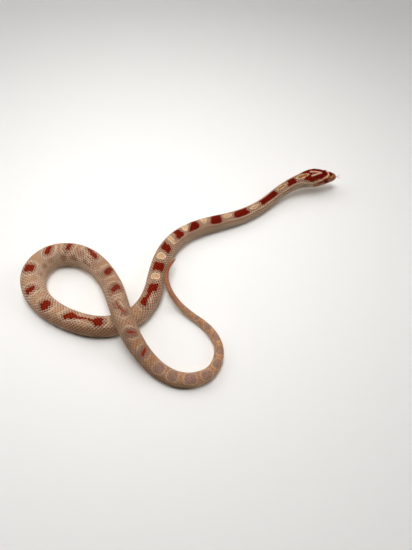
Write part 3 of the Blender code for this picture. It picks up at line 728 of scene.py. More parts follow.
def markings(at, share):
    """How strongly each marking, and the painted shade of the flanks, shows at a place, from 0 to 1,
    and how far outside an oval it lies.
    """
    girth = SHELL.girth(at)
    share = half_round(share)
    side = share * girth
    lean = profile(LEAN, at)
    wide = np.abs(side - lean)
    ends = [(min(r[1] for r in rows), max(r[2] for r in rows)) for rows in SADDLES] + DISCS
    saddle, ring, disc = saddles_and_rings(at, side, lean)
    oval, heart, cut = ovals_and_spaces(at, side, lean, ends)
    line = pale_lines(at, side, wide, girth, disc)
    ring, saddle = np.maximum(ring, cut), saddle * (1 - cut)

    start, end, less = NECK_STRIPE_FADES
    shows = ease(at, *NECK_STRIPE_BEGINS) * (1 - less * ease(at, start, end))
    stripe = soft(off_line(at, wide, NECK_STRIPE) - NECK_STRIPE_HALF, NECK_STRIPE_BLUR)
    line = np.maximum(line, stripe * shows)
    below, half, blur, strength = STRIPE_SHADOW
    shadow = soft(off_line(at, wide - below, NECK_STRIPE) - half, blur) * shows * strength
    shadow *= ease(at, *STRIPE_SHADOW_BEGINS)
    blotch_and_shade = np.maximum(side_blotches_and_shade(at, side, wide, girth, ends), shadow)

    on_head = 1 - ease(at, *HEAD_ENDS)
    red, pale_and_highlight = head_marks(at, side, cut)
    saddle = np.maximum(saddle * (1 - on_head), red)
    # On the head the pale marks carry the painted highlight beside each nostril.
    line = np.maximum(line, pale_and_highlight * on_head)
    start, end, low, high, strength = CHEEK_PALE
    cheek = strength * (1 - ease(at, start, end)) * ease(np.abs(side), low, high)
    belly = np.clip(ease(np.abs(share), *BELLY_BEGINS) + cheek, 0, 1)
    keep = 1 - saddle
    return {
        "saddle": saddle, "ring": ring * keep, "line": line * keep,
        "blotch_and_shade": blotch_and_shade * (1 - belly) * (1 - ring) * keep, "oval": oval, "heart": heart * keep,
        "flank": ease(wide / girth, *FLANK_BEGINS), "belly": belly, "along": at / BODY_LENGTH,
    }


# ---- meshes ------------------------------------------------------------------------------------------
def linear(colour):
    """A hex colour as linear red, green, blue and alpha."""
    parts = [int(colour[i : i + 2], 16) / 255 for i in (1, 3, 5)]
    return (*(v / 12.92 if v <= 0.04045 else ((v + 0.055) / 1.055) ** 2.4 for v in parts), 1.0)


def make_piece(name, points, faces, finish, where=None, grain=None, bake=None, lines_at=None):
    """A finished object from places in millimetres and arrays of faces, one for each number of corners.

    The markings are those at where, apart from fine ones, which are those at lines_at. Grain is how far
    out on its scale each point lies, the scale's own tone, and the painted shade of a groove or pit.
    """
    mesh = bpy.data.meshes.new(name)
    mesh.vertices.add(len(points))
    mesh.vertices.foreach_set("co", (points * MM).astype(np.float32).ravel())
    corners = np.concatenate([f.ravel() for f in faces]).astype(np.int32)
    sizes = np.concatenate([np.full(len(f), f.shape[1]) for f in faces])
    starts = np.concatenate([[0], np.cumsum(sizes)[:-1]])
    mesh.loops.add(len(corners))
    mesh.loops.foreach_set("vertex_index", corners)
    mesh.polygons.add(len(sizes))
    mesh.polygons.foreach_set("loop_start", starts.astype(np.int32))
    mesh.polygons.foreach_set("loop_total", sizes.astype(np.int32))
    mesh.update(calc_edges=True)
    mesh.shade_smooth()
    if where is not None:
        m = markings(*where)
        if lines_at is not None:
            crisp = markings(*lines_at)
            m.update((key, crisp[key]) for key in ("line", "oval", "heart"))
            m["saddle"] = np.where(where[0] > CRISP_FROM, crisp["saddle"], m["saddle"])
        store(mesh, "marks", m["saddle"], m["ring"], m["line"], m["blotch_and_shade"])
        store(mesh, "tones", m["oval"], m["heart"], m["flank"], m["belly"])
        store(mesh, "grain", *grain, m["along"])
    if bake is not None:
        layer = mesh.uv_layers.new(name="OFBake")
        by_corner = bake[corners] if len(bake) == len(points) else bake
        layer.data.foreach_set("uv", by_corner.astype(np.float32).ravel())
    mesh.materials.append(finish)
    made = bpy.data.objects.new(name, mesh)
    bpy.context.scene.collection.objects.link(made)
    return made


def store(mesh, name, red, green, blue, alpha):
    """Four numbers for each point of a mesh, read by the materials as one attribute."""
    values = np.stack(np.broadcast_arrays(red, green, blue, alpha), axis=-1).astype(np.float32)
    mesh.attributes.new(name, "FLOAT_COLOR", "POINT").data.foreach_set("color", values.ravel())


def attach(piece, slot, *nodes):
    """Puts a piece on the body, in place of the solids it stands for, which it hides. The slot is not
    used.
    """
    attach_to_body(piece, BODY)
    if nodes:
        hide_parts(*nodes)
    return piece


def tile(size, copies, faces):
    """The faces of many copies of one shape of so many points, numbered one copy after another."""
    start = (np.arange(copies) * size)[:, None, None]
    return [(f[None] + start).reshape(-1, f.shape[1]) for f in faces]


def ring_faces(rings, around):
    """Four-cornered faces that join rings of points, each ring numbered on from the last."""
    i = np.arange(rings - 1)[:, None] * around
    j = np.arange(around)[None, :]
    k = (j + 1) % around
    return np.stack([i + j, i + around + j, i + around + k, i + k], axis=-1).reshape(-1, 4)


def fan(start, around, point):
    """Triangles from each edge of a ring to one point."""
    i = np.arange(around)
    return np.stack([start + i, start + (i + 1) % around, np.full(around, point)], axis=-1)


def tube_faces(rings, around, flip=False):
    """A closed tube: faces between its rings, and a fan at each end to the two points after them."""
    end = rings * around
    faces = [
        ring_faces(rings, around),
        np.concatenate([fan(0, around, end), fan(end - around, around, end + 1)[:, ::-1]]),
    ]
    return [f[:, ::-1] for f in faces] if flip else faces


def merged(faces):
    """The faces of several shapes, each given as the same kinds of faces, as one list."""
    return [np.concatenate(kind) for kind in zip(*faces)]


# ---- materials ---------------------------------------------------------------------------------------
KINDS = {  # node, its sockets in the order given, its output and its settings
    "ramp": ("ShaderNodeMapRange", ("Value", "From Min", "From Max"), 0, {}),
    "paint": ("ShaderNodeMix", (0, 6, 7), 2, {"data_type": "RGBA"}),
    "blend": ("ShaderNodeMix", (0, 2, 3), 0, {"data_type": "FLOAT"}),
    "add": ("ShaderNodeMath", (0, 1), 0, {"operation": "ADD"}),
    "multiply": ("ShaderNodeMath", (0, 1), 0, {"operation": "MULTIPLY"}),
    "brighten": ("ShaderNodeHueSaturation", ("Color", "Value"), 0, {}),
    "noise": ("ShaderNodeTexNoise", ("Vector", "Scale", "Detail"), "Fac", {}),
}
SPECKLE = 1 / 0.9  # mm from one speck of pigment to the next
IRIS_STREAK = 1 / 2.6  # mm
MARKS = {  # stored attribute: what its four numbers are
    "marks": ("on_saddle_and_shade", "on_ring", "on_line_and_highlight", "on_blotch_and_shade"),
    "tones": ("oval", "on_heart", "on_flank", "on_belly"),
    "grain": ("edge", "tone", "on_recess_shade", "along"),
}
SKIN_STEPS = [  # result, kind of step and its inputs; along is a share of the body's length
    # The back and the flank change along the body, from fore to hind and on to the tail.
    ("hind", "ramp", "along", 0.22, 0.42),
    ("tail", "ramp", "along", 0.76, 0.86),
    ("back", "paint", "hind", "ground_fore", "ground_hind"),
    ("back", "paint", "tail", "back", "ground_tail"),
    ("side", "paint", "hind", "flank_fore", "flank_hind"),
    ("side", "paint", "tail", "side", "flank_tail"),
    ("skin", "paint", "on_flank", "back", "side"),
    # Brown borders, dull blotches with the painted shade of the flanks, and the spaces and ovals
    # between saddles.
    ("late", "ramp", "along", 0.66, 0.76),
    ("border", "paint", "hind", "ring_fore", "ring_hind"),
    ("border", "paint", "late", "border", "ring_tail"),
    ("skin", "paint", "on_ring", "skin", "border"),
    ("thin", "multiply", "on_blotch_and_shade", 0.85),
    ("skin", "paint", "thin", "skin", "blotch_and_shade"),
    ("late", "ramp", "along", 0.58, 0.72),
    ("between", "paint", "late", "space", "space_tail"),
    ("skin", "paint", "on_heart", "skin", "between"),
    ("in_oval", "ramp", "oval", OVAL_BLUR, -OVAL_BLUR),
    ("skin", "paint", "in_oval", "skin", "cream"),
    ("middle", "ramp", "oval", OVAL_BLUR - OVAL_RIM, -OVAL_BLUR - OVAL_RIM),
    ("middle", "multiply", "on_heart", "middle"),
    ("skin", "paint", "middle", "skin", "heart"),
    # Pale lines with the painted highlight beside each nostril, red saddles with the painted shade
    # round the eye, the belly and the tip of the tail.
    ("pale_and_highlight", "paint", "tail", "line", "line_tail"),
    ("skin", "paint", "on_line_and_highlight", "skin", "pale_and_highlight"),
    ("late", "ramp", "along", 0.69, 0.72),
    ("red", "paint", "hind", "red_fore", "red_hind"),
    ("red", "paint", "late", "red", "red_tail"),
    ("skin", "paint", "on_saddle_and_shade", "skin", "red"),
    ("skin", "paint", "on_belly", "skin", "belly"),
    ("late", "ramp", "along", 0.93, 0.98),
    ("skin", "paint", "late", "skin", "tip"),
    # How plainly a scale's rim shows: most on the flank, least on the tail, blotches, painted shade and
    # tan spaces.
    ("plain", "blend", "on_flank", 0.85, 1.0),
    ("on_border", "blend", "hind", 0.9, 0.7),
    ("plain", "blend", "on_ring", "plain", "on_border"),
    ("late", "ramp", "along", 0.74, 0.77),
    ("mid_tail", "blend", "on_ring", 0.5, 0.15),
    ("end_tail", "blend", "on_ring", 0.2, 0.15),
    ("on_tail", "blend", "late", "mid_tail", "end_tail"),
    ("late", "ramp", "along", 0.62, 0.70),
    ("plain", "blend", "late", "plain", "on_tail"),
    ("plain", "blend", "on_blotch_and_shade", "plain", 0.3),
    ("plain", "blend", "on_heart", "plain", 0.35),
    # The rim: paler than the scale, cream in an oval and light red on a saddle.
    ("wider", "blend", "hind", 0.07, 0.0),
    ("wide", "add", "edge", "wider"),
    ("rim", "ramp", "wide", 0.68, 0.88),
    ("rim", "multiply", "rim", "plain"),
    ("rim", "multiply", "rim", "rim_strength"),
    ("bright", "paint", "hind", "rim_fore", "rim_hind"),
    ("bright", "paint", "in_oval", "bright", "cream"),
    ("light_red", "paint", "hind", "rim_red_fore", "rim_red_hind"),
    ("bright", "paint", "on_saddle_and_shade", "bright", "light_red"),
    ("skin", "paint", "rim", "skin", "bright"),
    # Specks of pigment and each scale's own tone, then painted shade in the groove of the mouth, the
    # eye sockets and the nostrils.
    ("specks", "noise", "place", 1 / (SPECKLE * MM), 3.0),
    ("mottle", "add", "tone", "specks"),
    ("shade", "ramp", "mottle", 0.1, 1.9),
    ("dark", "brighten", "skin", 0.74),
    ("light", "brighten", "skin", 1.2),
    ("skin", "paint", "shade", "dark", "light"),
    ("skin", "paint", "on_recess_shade", "skin", "seam"),
]
EYE_STEPS = [  # out is 0 at the middle of the pupil and 1 at the back of the ball
    ("streaks", "noise", "place", 1 / (IRIS_STREAK * MM), 2.0),
    ("ball", "paint", "streaks", "iris", "iris_light"),
    ("past", "ramp", "out", 0.165, 0.185),
    ("ball", "paint", "past", "pupil", "ball"),
    ("past", "ramp", "out", 0.30, 0.36),
    ("ball", "paint", "past", "ball", "eye_rim"),
]


def node(tree, kind, inputs=None, **settings):
    """Adds a node with its settings. Each input is linked to an output or set to a value."""
    made = tree.nodes.new(kind)
    for key, value in settings.items():
        setattr(made, key, value)
    for key, value in (inputs or {}).items():
        if isinstance(value, bpy.types.NodeSocket):
            tree.links.new(value, made.inputs[key])
        else:
            made.inputs[key].default_value = value
    return made


def finish_material(name, attributes, steps, colours, result, shader_values):
    """A material from steps (result, kind, inputs); an input is a number, a colour or a result."""
    found = bpy.data.materials.new(name)
    found.use_nodes = True
    tree = found.node_tree
    have = {**colours, "place": node(tree, "ShaderNodeTexCoord").outputs["Object"]}
    for attribute, keys in attributes.items():
        read = node(tree, "ShaderNodeAttribute", attribute_name=attribute)
        split = node(tree, "ShaderNodeSeparateColor", {0: read.outputs["Color"]})
        have.update(zip(keys, [*split.outputs[:3], read.outputs["Alpha"]]))
    for key, step, *inputs in steps:
        kind, sockets, output, settings = KINDS[step]
        values = {socket: have.get(value, value) for socket, value in zip(sockets, inputs)}
        have[key] = node(tree, kind, values, **settings).outputs[output]
    shader = tree.nodes["Principled BSDF"]
    if isinstance(have[result], bpy.types.NodeSocket):
        tree.links.new(have[result], shader.inputs["Base Color"])
    else:
        shader.inputs["Base Color"].default_value = have[result]
    for key, value in shader_values.items():
        shader.inputs[key].default_value = value
    return found


# ---- skin --------------------------------------------------------------------------------------------
MOUTH_SHARE = [  # the line of the mouth, as a share of the way round
    (0, 0.382), (0.5, 0.30), (1, 0.289), (2, 0.295), (4, 0.306), (6, 0.311), (8, 0.314), (10, 0.313),
    (12, 0.308), (14, 0.301), (16, 0.287), (18.6, 0.262),
]
JAW_CORNER = 18.6
MOUTH_FROM = 0.15  # the snout's tip has no groove
MOUTH_GROOVE = (0.3, 0.25)  # depth and half-width
MOUTH_SHADE = (0.9, 0.22)  # painted shade in the groove of the mouth: strength and half-width
EYE_SOCKET = (0.85, 1.25, 1.6)  # depth, and how far from the eye's middle its wall lies
# Painted shade in each eye's socket: strength, and the distances from the eye's middle over which it
# fades.
SOCKET_SHADE = (0.8, 1.3, 1.7)
PALE_BETWEEN = (17, 22)  # behind the head the skin between scales is as pale as their rims
SKIN_AROUND = 120
SKIN_FRONT = [-0.9, -0.7, -0.45, -0.2]  # rows that close the snout
SKIN_HEAD, SKIN_BODY = (0, 24, 0.2), (24.5, TIP - 1, 1.0)  # first row, end and step
SKIN_LAST = 0.6  # the last row lies this far before the tip
SKIN_BANDS = 8  # the tube's length is laid out in so many strips on the bake map
LENGTHS = {"fore_body": 3, "mid_body": 3, "hind_body": 4, "tail": 3}
FLESH = ["head", "lower_jaw", "neck"]
FLESH += ["%s_%d" % (name, k + 1) for name, count in LENGTHS.items() for k in range(count)]


def off_mouth(at, share):
    """Distance from the line of the mouth, and far beyond the corner of the jaw."""
    past = np.maximum(at - JAW_CORNER, 0)
    gap = (np.abs(half_round(share)) - profile(MOUTH_SHARE, at)) * SHELL.girth(at)
    return np.hypot(gap, past)


def off_eye(at, share):
    """Distance over the surface from the middle of the nearer eye."""
    return np.hypot(at - EYE_AT[0], np.abs(half_round(share)) * SHELL.girth(at) - EYE_ROUND)


def build_skin(finish):
    """One closed tube from snout to tail: the outer surface lowered by the depth of the scales.

    The mouth is a groove with a bell curve for its section, and each eye's socket has an eased wall.
    """
    around = SKIN_AROUND
    rows = np.concatenate([SKIN_FRONT, np.arange(*SKIN_HEAD), np.arange(*SKIN_BODY), [TIP - SKIN_LAST]])
    at = np.repeat(rows[:, None], around, axis=1)
    share = np.repeat((np.arange(around) / around)[None, :], len(rows), axis=0)
    deep, half = MOUTH_GROOVE
    groove = deep * np.exp(-((off_mouth(at, share) / half) ** 2)) * (at > MOUTH_FROM)
    deep, near, far = EYE_SOCKET
    socket = deep * (1 - ease(off_eye(at, share), near, far))
    points = SHELL.at(at, share, -(profile(DEPTH, at) + groove + socket)).reshape(-1, 3)
    front = SHELL.at(-1.0, 0.0, -profile(DEPTH, 0.0))
    back = SHELL.at(TIP, 0.0) * 0.5 + SHELL.at(TIP, 0.5) * 0.5

    span = math.ceil((len(rows) - 1) / SKIN_BANDS)
    row, column = np.divmod(np.arange((len(rows) - 1) * around), around)
    band = row // span
    corner_row = np.stack([row, row + 1, row + 1, row], axis=-1) - (band * span)[:, None]
    corner_column = np.stack([column + 1, column + 1, column, column], axis=-1)
    u = 0.01 + 0.98 * corner_row / span
    v = (band[:, None] + 0.02 + 0.94 * corner_column / around) / SKIN_BANDS
    ends = [[0.002, 0.0005], [0.008, 0.0005], [0.008, 0.0015]]
    bake = np.concatenate([np.stack([u, v], axis=-1).reshape(-1, 2), np.tile(ends, (2 * around, 1))])

    where = (np.append(at.ravel(), [0.0, TIP]), np.append(share.ravel(), [0.0, 0.0]))
    # Painted shade in the groove of the mouth and round each eye's socket.
    dark, half = MOUTH_SHADE
    seam = np.exp(-((off_mouth(*where) / half) ** 2)) * (where[0] > MOUTH_FROM) * dark
    dark, near, far = SOCKET_SHADE
    seam = np.maximum(seam, dark * (1 - ease(off_eye(*where), near, far)))
    points = np.concatenate([points, [front, back]])
    faces = tube_faces(len(rows), around, flip=True)
    grain = (ease(where[0], *PALE_BETWEEN), 0.5, seam)
    skin = make_piece("skin", points, faces, finish, where, grain, bake)
    return attach(skin, "skin_front", *FLESH)


# ---- body scales -------------------------------------------------------------------------------------
SCALE_CORNERS = 12
SCALE_POWER = 1.5  # 2 is an oval, 1 a lozenge
SCALE_CROWN = 0.58  # the ring inside the rim
SCALE_UNDER = 0.94  # the underside's ring
SCALE_LONG = (1.24, 0.05)  # of the step to the next: mean and spread
SCALE_WIDE = 1.72  # of the step to the next row
SCALE_WIDEST = 1.62
SCALE_SINK = 0.125  # how far its middle lies under the outer surface
SCALE_TILT = 0.095
SCALE_DOME = 0.06
SCALE_THICK = 0.075
FULL_DEPTH = 0.22  # the depth for which those rises are given
OWN_MARKS = (40.0, 80.0, 0.75, 0.35)  # how far a scale's markings differ from those at its middle
THROAT = 0.36  # small scales leave the throat and belly free beyond this share round
CHEEK_ROWS = 0.68  # of the number of rows, to each side, where they run down behind the jaw
SCALES_STOP = 1.3  # before the tip of the tail
SHIELDS_STOP = 1.9
SHIELD_SINK = 0.125
SHIELD_TILT = 0.115
SHIELD_THICK = 0.06
SHIELD_EDGE = 0.10  # its ends turn in under the flank's scales by this
SHIELD_HALF = 0.58  # of the step to the next
SHIELD_AHEAD = 0.12
SHIELD_PLACES = (15, 6, 4)  # across a belly shield, across a tail shield, and along either
PAIR_FROM = 0.9  # of a step behind the last belly shield
PAIR_STAGGER = 0.15  # of the step: one row under the tail lies behind the other
PAIR_WIDTH = 0.97  # of half the free width
BAKE_MARGIN = 0.02
BAKE_SCALE = 0.0015  # half the size of one scale on the bake map


def scale_shape():
    """A closed, pointed leaf whose outline is |along|^n + |across|^n = 1.

    Returns places (along, across) from -1 to 1, how far out each lies, 1 for the underside, and faces.
    """
    n = SCALE_CORNERS
    turn = np.linspace(0, 2 * np.pi, n, endpoint=False)
    rim = np.stack([np.cos(turn), np.sin(turn)], axis=-1)
    rim = np.sign(rim) * np.abs(rim) ** (2 / SCALE_POWER)
    places = np.concatenate([rim * SCALE_UNDER, rim, rim * SCALE_CROWN, [[0.0, 0.0]]])
    reach = np.append(np.repeat([SCALE_UNDER, 1.0, SCALE_CROWN], n), 0.0)
    below = np.append(np.repeat([1.0, 0.0, 0.0], n), 0.0)
    faces = [ring_faces(3, n), fan(2 * n, n, 3 * n)[:, ::-1], np.arange(n)[None, :]]
    return places, reach, below, faces


def scale_count():
    """Distances from the snout, and how many scales of one row lie before each."""
    fine = np.linspace(0, BODY_LENGTH, 5001)
    steps = np.diff(fine) / profile(STEP, (fine[1:] + fine[:-1]) / 2)
    return fine, np.concatenate([[0], np.cumsum(steps)])


def scale_rows():
    """Every scale: distance from the snout, share of the way round, width and step to the next.

    Stations are one scale apart, and odd rows lie half a scale behind. Where the number of rows
    changes, two rows of the flank run together.
    """
    fine, count = scale_count()
    zones = ROWS + [(TIP - SCALES_STOP, 0)]
    found = []
    for number, ((start, rows), (end, _)) in enumerate(zip(zones, zones[1:])):
        first, last = np.interp([start, end], fine, count)
        before = ROWS[number - 1][1] if number else 0
        half = (rows - 1) // 2 if number else int(CHEEK_ROWS * rows)
        for row in range(-half, half + 1):
            behind = 0.5 * (row % 2)
            station = np.arange(math.ceil(first - behind), last) + behind
            at = np.interp(station[station < last], count, fine)
            place = np.full(len(at), abs(row) / (rows / 2))
            for other, edge in ((before, start), (zones[number + 1][1], end)):
                if not other:
                    continue
                fuse = (min(rows, other) - 1) // 2 - 2
                there = (abs(row) + (abs(row) > fuse) * np.sign(other - rows)) / (other / 2)
                place += (there - place) * 0.5 * (1 - ease(np.abs(at - edge), 0, FUSE_REACH))
            back = profile(BACK_SHARE, at) / 2
            girth = SHELL.girth(at)
            lean = profile(LEAN, at) / girth * np.clip(1 - place**2, 0, 1)
            share = np.sign(row) * place * back + lean
            width = np.minimum(back * girth / (rows / 2) * SCALE_WIDE, SCALE_WIDEST)
            found.append(np.stack([at, share, width, profile(STEP, at)], axis=-1))
    found = np.concatenate(found)
    low = np.abs(found[:, 1] - profile(LEAN, found[:, 0]) / SHELL.girth(found[:, 0])) > THROAT
    return found[~(low & (found[:, 0] > BELLY_FROM - 1))]


def lay(name, shape, at, x, y, rise, edge, v, finish, slot, span, random, where=None):
    """One piece from copies of a shape, its points given by distance, share round and rise.

    Each copy has its own small square on the bake map, at u for its distance and v for its place round.
    """
    places, faces = shape
    first, last = span
    tint = np.repeat(random.random(at.shape), len(places), axis=1).ravel()
    middle = np.stack([(at - first) / (last - first), v], axis=-1) * (1 - 2 * BAKE_MARGIN) + BAKE_MARGIN
    bake = (middle + BAKE_SCALE * places[None]).reshape(-1, 2)
    own = (x.ravel(), y.ravel())
    piece = make_piece(
        name, SHELL.at(x, y, rise).reshape(-1, 3), tile(len(places), len(at), faces), finish,
        where or own, (edge.ravel(), tint, 0.0), bake, own if where else None,
    )
    return attach(piece, slot)


def lay_scales(name, found, finish, slot, span, random):
    """Copies of one domed, pointed scale, each sloping so that its tip lies over the roots of the next.

    The rise is the tilt times the place along, plus the dome times 1 less the square of the reach.
    """
    places, reach, below, faces = scale_shape()
    at, share, width, step = found.T[..., None]
    long, spread = SCALE_LONG
    long = step * (long + spread * random.standard_normal(at.shape)) / 2
    x = at + places[None, :, 0] * long
    y = share + places[None, :, 1] * width / 2 / SHELL.girth(at)
    rise = SCALE_TILT * places[:, 0] + SCALE_DOME * (1 - reach**2) - SCALE_THICK * below - SCALE_SINK
    start, end, ahead, behind = OWN_MARKS
    own = ahead - (ahead - behind) * ease(at, start, end)
    where = ((at + (x - at) * own).ravel(), (share + (y - share) * own).ravel())
    edge = np.repeat(reach[None], len(at), axis=0)
    rise = rise[None] * profile(DEPTH, at) / FULL_DEPTH
    v = half_round(share) + 0.5
    return lay(name, (places, faces), at, x, y, rise, edge, v, finish, slot, span, random, where)


SCALE_PIECES = [  # name, where it starts, where it ends, slot
    ("scales_neck", 0, 67.4, "skin_front"), ("scales_fore", 67.4, 164, "skin_front"),
    ("scales_fore_hind", 164, 246, "skin_front"), ("scales_mid", 246, 324, "skin_front"),
    ("scales_hind", 324, VENT, "skin_hind"), ("scales_tail", VENT, BODY_LENGTH, "skin_tail"),
]


# ---- belly shields -----------------------------------------------------------------------------------
def slab_shape(wide, deep):
    """A sheet of wide by deep places from -1 to 1, doubled below and closed round its rim."""
    across, along = np.meshgrid(np.linspace(-1, 1, wide), np.linspace(-1, 1, deep), indexing="ij")
    flat = np.stack([along.ravel(), across.ravel()], axis=-1)
    places = np.concatenate([flat, flat])
    below = np.repeat([0.0, 1.0], len(flat))
    i, j = np.meshgrid(np.arange(wide - 1), np.arange(deep - 1), indexing="ij")
    a = (i * deep + j).ravel()
    top = np.stack([a, a + deep, a + deep + 1, a + 1], axis=-1)
    under = top[:, ::-1] + len(flat)
    rim = np.concatenate([
        np.arange(deep), np.arange(1, wide) * deep + deep - 1,
        (wide - 1) * deep + np.arange(deep - 2, -1, -1), np.arange(wide - 2, 0, -1) * deep,
    ])
    after = np.roll(rim, -1)
    wall = np.stack([rim, after, after + len(flat), rim + len(flat)], axis=-1)
    return places, below, [top, under, wall]


def lay_shields(name, at, middle, half, across, finish, slot, span, random):
    """Broad shields across the belly, each rear edge over the front of the next.

    Middle and half are shares of the way round. The rise is the tilt times the place along, less a drop
    that grows with the eighth power of the place across.
    """
    places, below, faces = slab_shape(across, SHIELD_PLACES[2])
    at, middle, half = (np.asarray(v, float)[:, None] for v in (at, middle, half))
    along, across = places.T[:, None]
    x = at + (SHIELD_AHEAD + along * SHIELD_HALF) * profile(STEP, at)
    y = middle + across * half
    rise = SHIELD_TILT * along - SHIELD_SINK - SHIELD_THICK * below - SHIELD_EDGE * np.abs(across) ** 8
    rise = rise * profile(DEPTH, at) / FULL_DEPTH
    edge = np.repeat(np.abs(along) ** 3 * 0.5, len(at), axis=0)
    return lay(name, (places, faces), at, x, y, rise, edge, middle % 1.0, finish, slot, span, random)


def build_belly(finish, random):
    """One row of shields from throat to vent, and pairs under the tail."""
    fine, count = scale_count()
    first, vent, last = np.interp([BELLY_FROM, VENT, TIP - SHIELDS_STOP], fine, count)
    at = np.interp(np.arange(math.ceil(first), vent), count, fine)
    middle = np.full(len(at), 0.5)
    half = 0.5 - profile(BACK_SHARE, at) / 2
    across, across_tail, _ = SHIELD_PLACES
    span = (BELLY_FROM - 1, VENT)
    lay_shields("belly_shields", at, middle, half, across, finish, "skin_front", span, random)
    at = np.interp(np.arange(math.floor(vent) + PAIR_FROM, last), count, fine)
    half = (0.5 - profile(BACK_SHARE, at) / 2) / 2
    middle = np.concatenate([0.5 - half, 0.5 + half])
    at = np.concatenate([at, at + profile(STEP, at) * PAIR_STAGGER])
    half = np.tile(half, 2) * PAIR_WIDTH
    span = (VENT, BODY_LENGTH)
    lay_shields("tail_shields", at, middle, half, across_tail, finish, "skin_tail", span, random)


# ---- head shields ------------------------------------------------------------------------------------
# Outlines on the left side: (distance from the snout, millimetres round from the middle of the crown).
PAIRED = {
    "internasal": [(1.2, 0.04), (2.6, 0.04), (2.85, 1.5), (2.0, 2.55), (1.3, 1.9)],
    "prefrontal": [(2.7, 0.04), (5.0, 0.04), (5.45, 1.35), (5.2, 2.75), (4.6, 3.9), (3.0, 3.05),
     (2.95, 1.55)],
    "supraocular": [(5.55, 1.45), (9.5, 1.2), (10.0, 2.5), (9.5, 3.5), (7.9, 3.78), (6.2, 3.6),
     (5.35, 2.75)],
    "parietal": [(9.65, 1.15), (10.9, 0.04), (16.4, 0.04), (16.9, 1.5), (15.8, 3.3), (12.8, 4.55),
     (10.3, 4.0), (10.1, 2.5)],
    "loreal": [(3.1, 3.2), (4.55, 4.0), (4.65, 5.2), (3.1, 4.7)],
    "preocular": [(4.7, 4.0), (5.6, 3.45), (6.25, 3.85), (6.1, 5.0), (6.4, 6.0), (4.8, 5.4)],
    "postocular_upper": [(9.6, 3.6), (10.3, 4.15), (10.6, 5.1), (9.75, 5.05)],
    "postocular_lower": [(9.75, 5.15), (10.6, 5.2), (10.5, 6.6), (9.3, 6.7)],
    "temporal_front": [(10.45, 4.2), (12.7, 4.75), (13.6, 5.0), (13.4, 6.3), (10.65, 6.0), (10.7, 5.1)],
    "temporal_low": [(10.6, 6.1), (13.4, 6.4), (13.5, 7.5), (12.0, 7.2), (10.5, 6.75)],
    "temporal_rear": [(13.7, 4.85), (15.9, 3.5), (16.5, 4.6), (16.2, 5.9), (13.55, 6.2)],
    "temporal_rear_low": [(13.5, 6.4), (16.2, 6.0), (16.5, 7.3), (13.6, 7.55)],
    "chin_front": [(1.9, -0.04), (6.0, -0.04), (6.5, -1.1), (5.6, -2.2), (3.4, -1.9), (2.3, -1.1)],
    "chin_rear": [(6.1, -0.04), (8.9, -0.04), (10.6, -0.8), (9.8, -2.3), (6.6, -2.3), (6.7, -1.1)],
}
NASAL = [(1.3, 2.1), (2.0, 2.7), (2.95, 3.2), (3.0, 4.6), (1.45, 4.05), (1.0, 3.1)]
NOSTRIL = (1.95, 3.35)
FRONTAL = [
    (5.1, 0.0), (5.55, 1.3), (7.5, 1.25), (9.45, 1.05), (10.7, 0.0), (9.45, -1.05), (7.5, -1.25),
    (5.55, -1.3),
]
UPPER_LIP_STOPS = [1.2, 3.0, 4.7, 6.35, 8.1, 10.1, 12.5, 15.3, 18.3]
UPPER_LIP_TOP = [
    (1.2, 4.0), (3.0, 4.75), (4.7, 5.3), (6.4, 6.15), (7.2, 6.7), (9.2, 6.8), (10.5, 6.85),
    (13.5, 7.65), (16.5, 7.4), (18.3, 7.4),
]
LOWER_LIP_STOPS = [0.9, 2.1, 3.4, 4.8, 6.4, 8.2, 10.2, 12.3, 14.4, 16.4, 18.2]
LOWER_LIP_DEEP = [(0.9, 1.2), (3, 1.7), (8, 2.1), (12, 1.9), (18, 1.4)]
EYE_OPENING = 1.42
MOUTH_GAP = (0.10, 0.12)  # bare above and below the line of the mouth


def plate_outlines():
    """Every head shield: its outline as distance and millimetres round, and its nostril or None."""
    def left_and_right(outline, nostril=None):
        mirrored = None if nostril is None else (nostril[0], -nostril[1])
        return [(outline, nostril), ([(s, -a) for s, a in outline][::-1], mirrored)]

    def mouth(at):
        return profile(MOUTH_SHARE, at) * SHELL.girth(at)

    found = [(FRONTAL, None)]
    for name, outline in PAIRED.items():
        if name.startswith("chin"):
            outline = [(s, SHELL.girth(s) / 2 + a) for s, a in outline]
        found += left_and_right(outline)
    found += left_and_right(NASAL, NOSTRIL)
    for first, last in zip(UPPER_LIP_STOPS, UPPER_LIP_STOPS[1:]):
        along = np.linspace(first, last, 6)
        low = [(s, mouth(s) - MOUTH_GAP[0]) for s in along]
        high = [(s, profile(UPPER_LIP_TOP, s)) for s in along[::-1]]
        found += left_and_right(low + high)
    for first, last in zip(LOWER_LIP_STOPS, LOWER_LIP_STOPS[1:]):
        along = np.linspace(first, last, 5)
        high = [(s, mouth(s) + MOUTH_GAP[1]) for s in along]
        low = [(s, mouth(s) + profile(LOWER_LIP_DEEP, s)) for s in along[::-1]]
        found += left_and_right(high + low)
    return found


def turning(outline):
    """Above 0 for an outline that turns to the left: twice its area."""
    x, y = np.array(outline, float).T
    return (x * np.roll(y, -1) - np.roll(x, -1) * y).sum()


def round_outline(outline, corners, inset):
    """An outline cut into equal steps, its corners eased, and drawn in by the inset."""
    p = np.array(outline, float)
    p = np.concatenate([p, p[:1]])
    run = np.concatenate([[0], np.cumsum(np.linalg.norm(np.diff(p, axis=0), axis=1))])
    stops = np.linspace(0, run[-1], corners + 1)[:-1]
    q = np.stack([np.interp(stops, run, p[:, k]) for k in (0, 1)], axis=-1)
    for _ in range(2):
        q = (np.roll(q, 1, axis=0) + 2 * q + np.roll(q, -1, axis=0)) / 4
    ahead = np.roll(q, -1, axis=0) - np.roll(q, 1, axis=0)
    inward = np.stack([-ahead[:, 1], ahead[:, 0]], axis=-1) * np.sign(turning(q))
    return q + inward / np.linalg.norm(ahead, axis=1, keepdims=True) * inset


